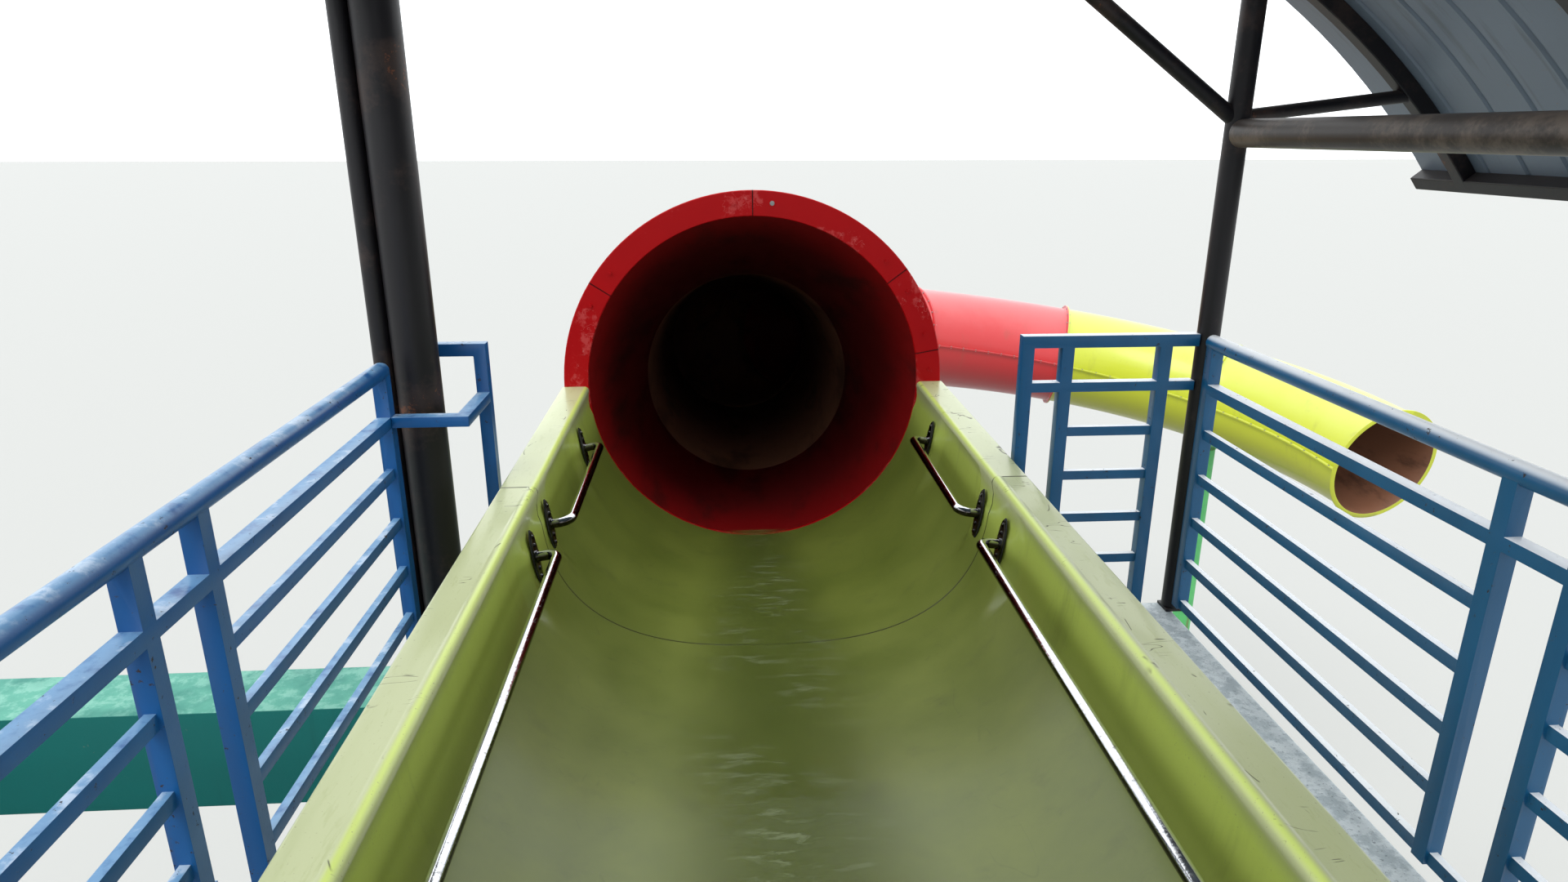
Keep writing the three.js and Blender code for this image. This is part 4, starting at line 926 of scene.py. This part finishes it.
flange_face = 0.0145
flume_bolt_circle = 0.727
bolts_round = 24
side_flange = 0.007
side_flange_reach = (0.69, 0.744)
side_seam = 0.0006
side_bolt_reach = 0.724
side_bolt_pitch = 0.24
joints = [0.0, straight] + [straight + turn_step * turn_radius * i for i in range(1, 6)]
shell_finishes = [yellow_shell, yellow_shell, red_shell, red_shell, yellow_shell, yellow_shell]
flange_bolts = []
for number, (start, end, outside) in enumerate(zip(joints, joints[1:], shell_finishes), 1):
    length = bmesh.new()
    first, last = start + half_joint, end - half_joint
    steps = 2 if number == 1 else 12
    profile = [(0.0, eased_radius), (0.0012, flange_radius), (0.0128, flange_radius), (0.014, eased_radius)]
    profile += [(0.0146, 0.712), (0.018, 0.703), (0.026, 0.6985), (0.036, shell_radius)]
    middle = [(first + 0.036 + (last - first - 0.072) * i / steps, shell_radius) for i in range(1, steps)]
    outer = [(first + d, r) for d, r in profile] + middle + [(last - d, r) for d, r in reversed(profile)]
    inner = [(last, bore_radius + 0.002), (last - 0.003, bore_radius)]
    inner += [(last + (first - last) * i / steps, bore_radius) for i in range(1, steps)]
    inner += [(first + 0.003, bore_radius), (first, bore_radius + 0.002)]
    round_shell(length, [(*axis_at(d)[:3], r) for d, r in outer + inner], len(outer))
    for way in (-1, 1):
        for edges in ((side_seam, side_flange), (-side_flange, -side_seam)):
            bars = []
            for i in range(steps + 3):
                run = (last - first - 2 * flange_face) * i / (steps + 2)
                centre, across, up, _ = axis_at(first + flange_face + run)
                corners = four_corners(*side_flange_reach, *edges)
                bars.append([centre + across * way * r + up * h for r, h in corners])
            bar_through(length, bars)
        count = round((last - first) / side_bolt_pitch)
        for i in range(count):
            centre, across, up, _ = axis_at(first + (last - first) * (i + 0.5) / count)
            for face in (1, -1):
                spot = centre + across * way * side_bolt_reach + up * face * side_flange
                flange_bolts.append((spot, up * face))
    inside = red_bore if outside is red_shell else yellow_bore
    settle_shell(f"flume_length_{number}", length, outside, inside, f"flume_section_{number}")
for joint in joints:
    for face in (1, -1):
        if joint == joints[-1] and face == 1:
            continue
        centre, across, up, along = axis_at(joint)
        for k in range(bolts_round):
            turn = 2 * pi * (k + 0.5) / bolts_round
            ray = across * cos(turn) + up * sin(turn)
            spot = centre + ray * flume_bolt_circle + along * face * flange_face
            flange_bolts.append((spot, along * face))
bolts.grow("flume_bolts", "chrome", flange_bolts, head_radius=0.009, head_height=0.007, washer_radius=0.013)


# Flume posts: steel pipe on a square base plate, with a cross arm, two struts and a saddle under a joint.
# They are painted green, chalky on top and stained brown by the water that drips from the joints.

green = Finish("green gloss paint")
chalk = green.cloud(5.0, 5, 0.6)
rust_runs = green.cloud(9.0, 5, 0.65, (1, 1, 0.08))
green.tone = green.blend((52, 140, 76), (92, 184, 108), chalk)
green.over((170, 210, 160), green.up.between(0.4, 0.95) * 0.6)
rust = rust_runs.between(0.6, 0.72)
green.over((108, 66, 38), rust * 0.6)
green.coat(0.4 + 0.25 * chalk + 0.2 * rust, chalk * 0.3 - rust * 0.4, 0.0008)

corner_ways = ((-1, -1), (1, -1), (1, 1), (-1, 1))


def square_bar(shape, start, end, width, height, upwards=Vector((0, 0, 1))):
    """A straight square bar from one point to another."""
    run = (end - start).normalized()
    across = run.cross(upwards).normalized()
    up = across.cross(run)
    rings = []
    for spot in (start, end):
        rings.append([spot + across * x * width / 2 + up * z * height / 2 for x, z in corner_ways])
    bar_through(shape, rings)


saddle_inner = 0.7462
saddle_outer = 0.766
saddle_half_wide = 0.045
saddle_from = radians(202.5)
saddle_sweep = radians(135)
strut_turns = {1: radians(315), -1: radians(225)}
arm_reach = 0.56
arm_size = 0.14
strut_reach = 0.49
strut_size = 0.07
pipe_radius = 0.137
base_half = 0.26
base_thick = 0.03
anchor_reach = 0.2
upright = Vector((0, 0, 1))
anchor_spots = []
for number, joint in enumerate((0, 1, 3, 5), 1):
    centre, across, up, along = axis_at(joints[joint])
    steel = bmesh.new()
    rings = []
    for i in range(25):
        turn = saddle_from + saddle_sweep * i / 24
        ray = across * cos(turn) + up * sin(turn)
        corners = four_corners(saddle_inner, saddle_outer, -saddle_half_wide, saddle_half_wide)
        rings.append([centre + ray * r + along * a for r, a in corners])
    bar_through(steel, rings)
    seat = centre - up * (saddle_outer - 0.01)
    head = Vector((seat.x, seat.y, seat.z - arm_size / 2))
    square_bar(steel, head - across * arm_reach, head + across * arm_reach, arm_size, arm_size)
    for way, turn in strut_turns.items():
        top = centre + (across * cos(turn) + up * sin(turn)) * (saddle_outer - 0.004)
        start = head + across * way * strut_reach + upright * 0.03
        square_bar(steel, start, top, strut_size, strut_size, along)
    foot = Vector((seat.x, seat.y, base_thick / 2))
    side = Vector((base_half, 0, 0))
    square_bar(steel, foot - side, foot + side, 2 * base_half, base_thick)
    nodes = [f"flume_post_{number}"]
    settle(f"saddle_post_{number}", steel, green, nodes, crease=None, ease=0.004)
    column = bmesh.new()
    tube(column, [foot, head], pipe_radius, sides=48)
    settle(f"saddle_post_pipe_{number}", column, green)
    for x, y in corner_ways:
        anchor_spots.append((foot + Vector((x * anchor_reach, y * anchor_reach, base_thick / 2)), upright))
bolts.grow("post_anchors", "chrome", anchor_spots, head_radius=0.024, head_height=0.02, washer_radius=0.036)


# Roof frame: seven arched ribs of square tube between two edge tubes, on round posts under two bearers.
# The steel is black gloss, dusty on top, with brown primer and rust showing on the pipe that hands reach.


def steel_paint(name, dark, worn, wear_share):
    """Dark paint on steel, dusty where it faces up and worn to its primer in patches."""
    finish = Finish(name, Specular_IOR_Level=0.3)
    patch = finish.cloud(3.0, 6, 0.65)
    fine = finish.cloud(70.0, 4, 0.65)
    bared = (patch + 0.15 * fine).between(0.72 - wear_share, 0.86 - wear_share)
    finish.tone = finish.blend(dark, worn, bared)
    finish.over((76, 72, 70), finish.up.between(0.3, 0.95) * 0.4)
    finish.over((112, 64, 38), (fine * 0.5 + patch).between(0.93, 0.98) * 0.6)
    finish.coat(0.3 + 0.3 * patch, patch * 0.3 + fine * 0.2, 0.0008)
    return finish


black_paint = steel_paint("black gloss paint", (18, 16, 20), (46, 36, 34), 0.14)
brown_paint = steel_paint("worn brown paint", (46, 40, 37), (88, 78, 70), 0.2)

roof_low, roof_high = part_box("roof_sheet")
roof_x = tub_x + 0.218
roof_z = deck_z - 0.22
roof_radius = 3.34
roof_right = 2.63
roof_left = 1.78
rib_size = 0.06
rib_first = roof_high.y - 0.28
rib_step = 0.97
rib_count = 7
rib_places = [rib_first - number * rib_step for number in range(rib_count)]
arch_right = acos(roof_right / roof_radius)
arch_left = acos(-roof_left / roof_radius)


def on_arch(angle, radius, y):
    """A point of the roof's arch, by its angle up from the right."""
    return Vector((roof_x + radius * cos(angle), y, roof_z + radius * sin(angle)))


def out_of_arch(angle):
    """The way out of the arch at an angle."""
    return Vector((cos(angle), 0, sin(angle)))


ribs = bmesh.new()
half_rib = rib_size / 2
for y in rib_places:
    rings = []
    for i in range(49):
        angle = arch_right + (arch_left - arch_right) * i / 48
        corners = four_corners(-rib_size, 0, -half_rib, half_rib)
        rings.append([on_arch(angle, roof_radius + r, y + d) for r, d in corners])
    bar_through(ribs, rings)
for angle in (arch_right + half_rib / roof_radius, arch_left - half_rib / roof_radius):
    ends = [on_arch(angle, roof_radius - half_rib, y) for y in (roof_low.y, roof_high.y)]
    square_bar(ribs, *ends, rib_size, rib_size, out_of_arch(angle))
settle("arched_ribs", ribs, black_paint, ["roof_ribs"], crease=None, ease=0.005)
bearers = [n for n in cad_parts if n.startswith("roof_bearer")]
settle("roof_bearers", whole(bearers), black_paint, bearers, crease=None, ease=0.004)


def pipe_in_box(node, axis, lift=0.0, sides=48):
    """A round pipe that fills the box of a CAD part along one of its axes."""
    low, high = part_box(node)
    ends = [(low + high) / 2, (low + high) / 2]
    ends[0][axis] = low[axis] + lift
    ends[1][axis] = high[axis]
    pipe = bmesh.new()
    tube(pipe, ends, (high.x - low.x) / 2, sides)
    return pipe


foot_plate = 0.012
for node in [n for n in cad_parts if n.startswith("roof_post")]:
    post = pipe_in_box(node, 2, lift=0.002)
    low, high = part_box(node)
    sides = [Vector((x, (low.y + high.y) / 2, low.z + foot_plate / 2)) for x in (low.x, high.x)]
    square_bar(post, *sides, high.x - low.x, foot_plate)
    settle(node + "_round", post, black_paint, [node])

settle("side_pipe", pipe_in_box("roof_side_pipe", 1), brown_paint, ["roof_side_pipe"])

post_low, post_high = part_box("roof_post_front_right")
post_x = (post_low.x + post_high.x) / 2
struts = {"roof_brace": (2.07, 0.438, 0.03), "roof_outrigger": (2.09, 2.488, 0.025)}
for node, (foot_height, reach, radius) in struts.items():
    head_x = tub_x + reach
    head_z = roof_z + sqrt((roof_radius - rib_size) ** 2 - (head_x - roof_x) ** 2)
    strut = bmesh.new()
    foot = Vector((post_x, rib_first, deck_z + foot_height))
    tube(strut, [foot, Vector((head_x, rib_first, head_z + 0.02))], radius)
    settle(node + "_round", strut, black_paint, [node])

drain = pipe_in_box("drain_pipe", 2, sides=32)
settle("drain_pipe_round", drain, black_paint, ["drain_pipe"])


# Roof sheet: coated steel sheet rolled to the arch, with a small raised seam every fifth of a metre.
# It is blue grey below, chalked and rain streaked on top, and screwed down to every rib.

roofing = Finish("blue grey coated sheet")
weather = roofing.cloud(1.2, 6, 0.65)
stripes = roofing.cloud(8.0, 4, 0.6, (0.2, 2.0, 0.2))
grime = roofing.cloud(30.0, 5, 0.7)
underside = (0 - roofing.up).between(-0.1, 0.3)
lit = roofing.blend((104, 114, 122), (74, 84, 94), weather)
shaded = roofing.blend((82, 94, 110), (112, 124, 138), weather)
roofing.tone = roofing.blend(lit, shaded, underside)
roofing.over((46, 46, 46), stripes.between(0.56, 0.72) * 0.35)
roofing.over((124, 92, 66), grime.between(0.66, 0.74) * 0.4)
roofing.coat(0.35 + 0.25 * weather, weather + stripes * 0.3, 0.002)

seam_pitch = 0.19
seam_count = int((roof_high.y - roof_low.y) / seam_pitch)
sheet = Recipe(
    "rolled roof sheet",
    radius=roof_radius + 0.0005,
    right=arch_right,
    left=arch_left,
    rear=roof_low.y,
    pitch=(roof_high.y - roof_low.y) / seam_count,
    rise=0.009,
    thickness=0.0012,
    rows=4 * seam_count + 1,
    columns=49,
)
size = sheet.size
counts = {"Size X": 1.0, "Size Y": 1.0, "Vertices X": size["columns"], "Vertices Y": size["rows"]}
grid = sheet.add("GeometryNodeMeshGrid", {}, counts)["Mesh"]
spot = sheet.add("ShaderNodeSeparateXYZ", {}, {0: sheet.add("GeometryNodeInputPosition")["Position"]})
row = (spot["Y"] + 0.5) * (size["rows"] - 1)
row = row.work("ROUND", row)
step = row % 4
bay = row.work("FLOOR", row * 0.25)
offset = (step > 0.5) * 0.008 + (step > 1.5) * 0.012 + (step > 2.5) * 0.008
reach = size["radius"] + ((step > 0.5) - (step > 2.5)) * size["rise"]
angle = size["right"] + (spot["X"] + 0.5) * (size["left"] - size["right"])
place = {
    "X": roof_x + reach * angle.work("COSINE", angle),
    "Y": size["rear"] + bay * size["pitch"] + offset,
    "Z": roof_z + reach * angle.work("SINE", angle),
}
bent = {"Geometry": grid, "Position": sheet.add("ShaderNodeCombineXYZ", {}, place)["Vector"]}
skin = sheet.add("GeometryNodeSetPosition", {}, bent)["Geometry"]
upper = {"Mesh": skin, "Offset Scale": size["thickness"], "Individual": False}
raised = sheet.add("GeometryNodeExtrudeMesh", {}, upper)
flipped = sheet.add("GeometryNodeFlipFaces", {}, {"Mesh": skin})["Mesh"]
both = sheet.add("GeometryNodeJoinGeometry", {}, {"Geometry": [raised["Mesh"], flipped]})["Geometry"]
closed = {"Geometry": both, "Distance": 0.00001}
sheet.end(sheet.add("GeometryNodeMergeByDistance", {}, closed)["Geometry"], roofing)
sheet.grow("rolled_roof_sheet", "roof_sheet", (), ["roof_sheet"])

screws_per_rib = 18
screw_spots = []
for y in rib_places:
    for i in range(screws_per_rib):
        angle = arch_right + (arch_left - arch_right) * (i + 0.5) / screws_per_rib
        screw_spots.append((on_arch(angle, roof_radius + 0.0016, y), out_of_arch(angle)))
bolts.grow("roof_screws", "chrome", screw_spots, head_radius=0.005, head_height=0.005, washer_radius=0.009)


# Floor, light and camera: a plain floor under soft light, seen from the deck behind the tub down the slide.

ground = bmesh.new()
bmesh.ops.create_grid(ground, x_segments=1, y_segments=1, size=400)
floor_mesh = bpy.data.meshes.new("floor")
ground.to_mesh(floor_mesh)
ground.free()
floor = new_object("floor", floor_mesh)
floor_finish = Finish("plain floor", Base_Color=rgb(168, 168, 165), Roughness=0.9)
floor_mesh.materials.append(floor_finish.material)
floor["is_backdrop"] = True

sky = bpy.data.worlds.new("studio")
sky.use_nodes = True
sky.node_tree.nodes["Background"].inputs["Color"].default_value = (0.95, 0.98, 1.0, 1.0)
sky.node_tree.nodes["Background"].inputs["Strength"].default_value = 1.8
bpy.context.scene.world = sky
key = bpy.data.lights.new("key", "SUN")
key.energy = 1.2
key.angle = radians(30)
key_light = new_object("key", key)
key_light.rotation_euler = (radians(38), radians(-12), radians(-20))
fill = bpy.data.lights.new("fill under the roof", "AREA")
fill.shape = "RECTANGLE"
fill.size = 3.0
fill.size_y = 5.0
fill.energy = 36.0
fill_light = new_object("fill", fill)
fill_light.location = (roof_x, tub_low.y + 1.2, deck_z + 2.75)
fill_light.visible_camera = False
fill_light.visible_glossy = False
bpy.context.scene.view_settings.view_transform = "Standard"

camera = bpy.data.cameras.new("viewer")
camera.lens = 22.0
camera.clip_end = 800
viewer = new_object("viewer", camera)
eye_height = 2.03
look_down = 17.8
look_right = 3.7
viewer.location = (tub_x - 0.162, tub_low.y - 0.45, deck_z + eye_height)
viewer.rotation_euler = (radians(90 - look_down), 0.0, radians(-look_right))
bpy.context.scene.camera = viewer

low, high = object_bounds()
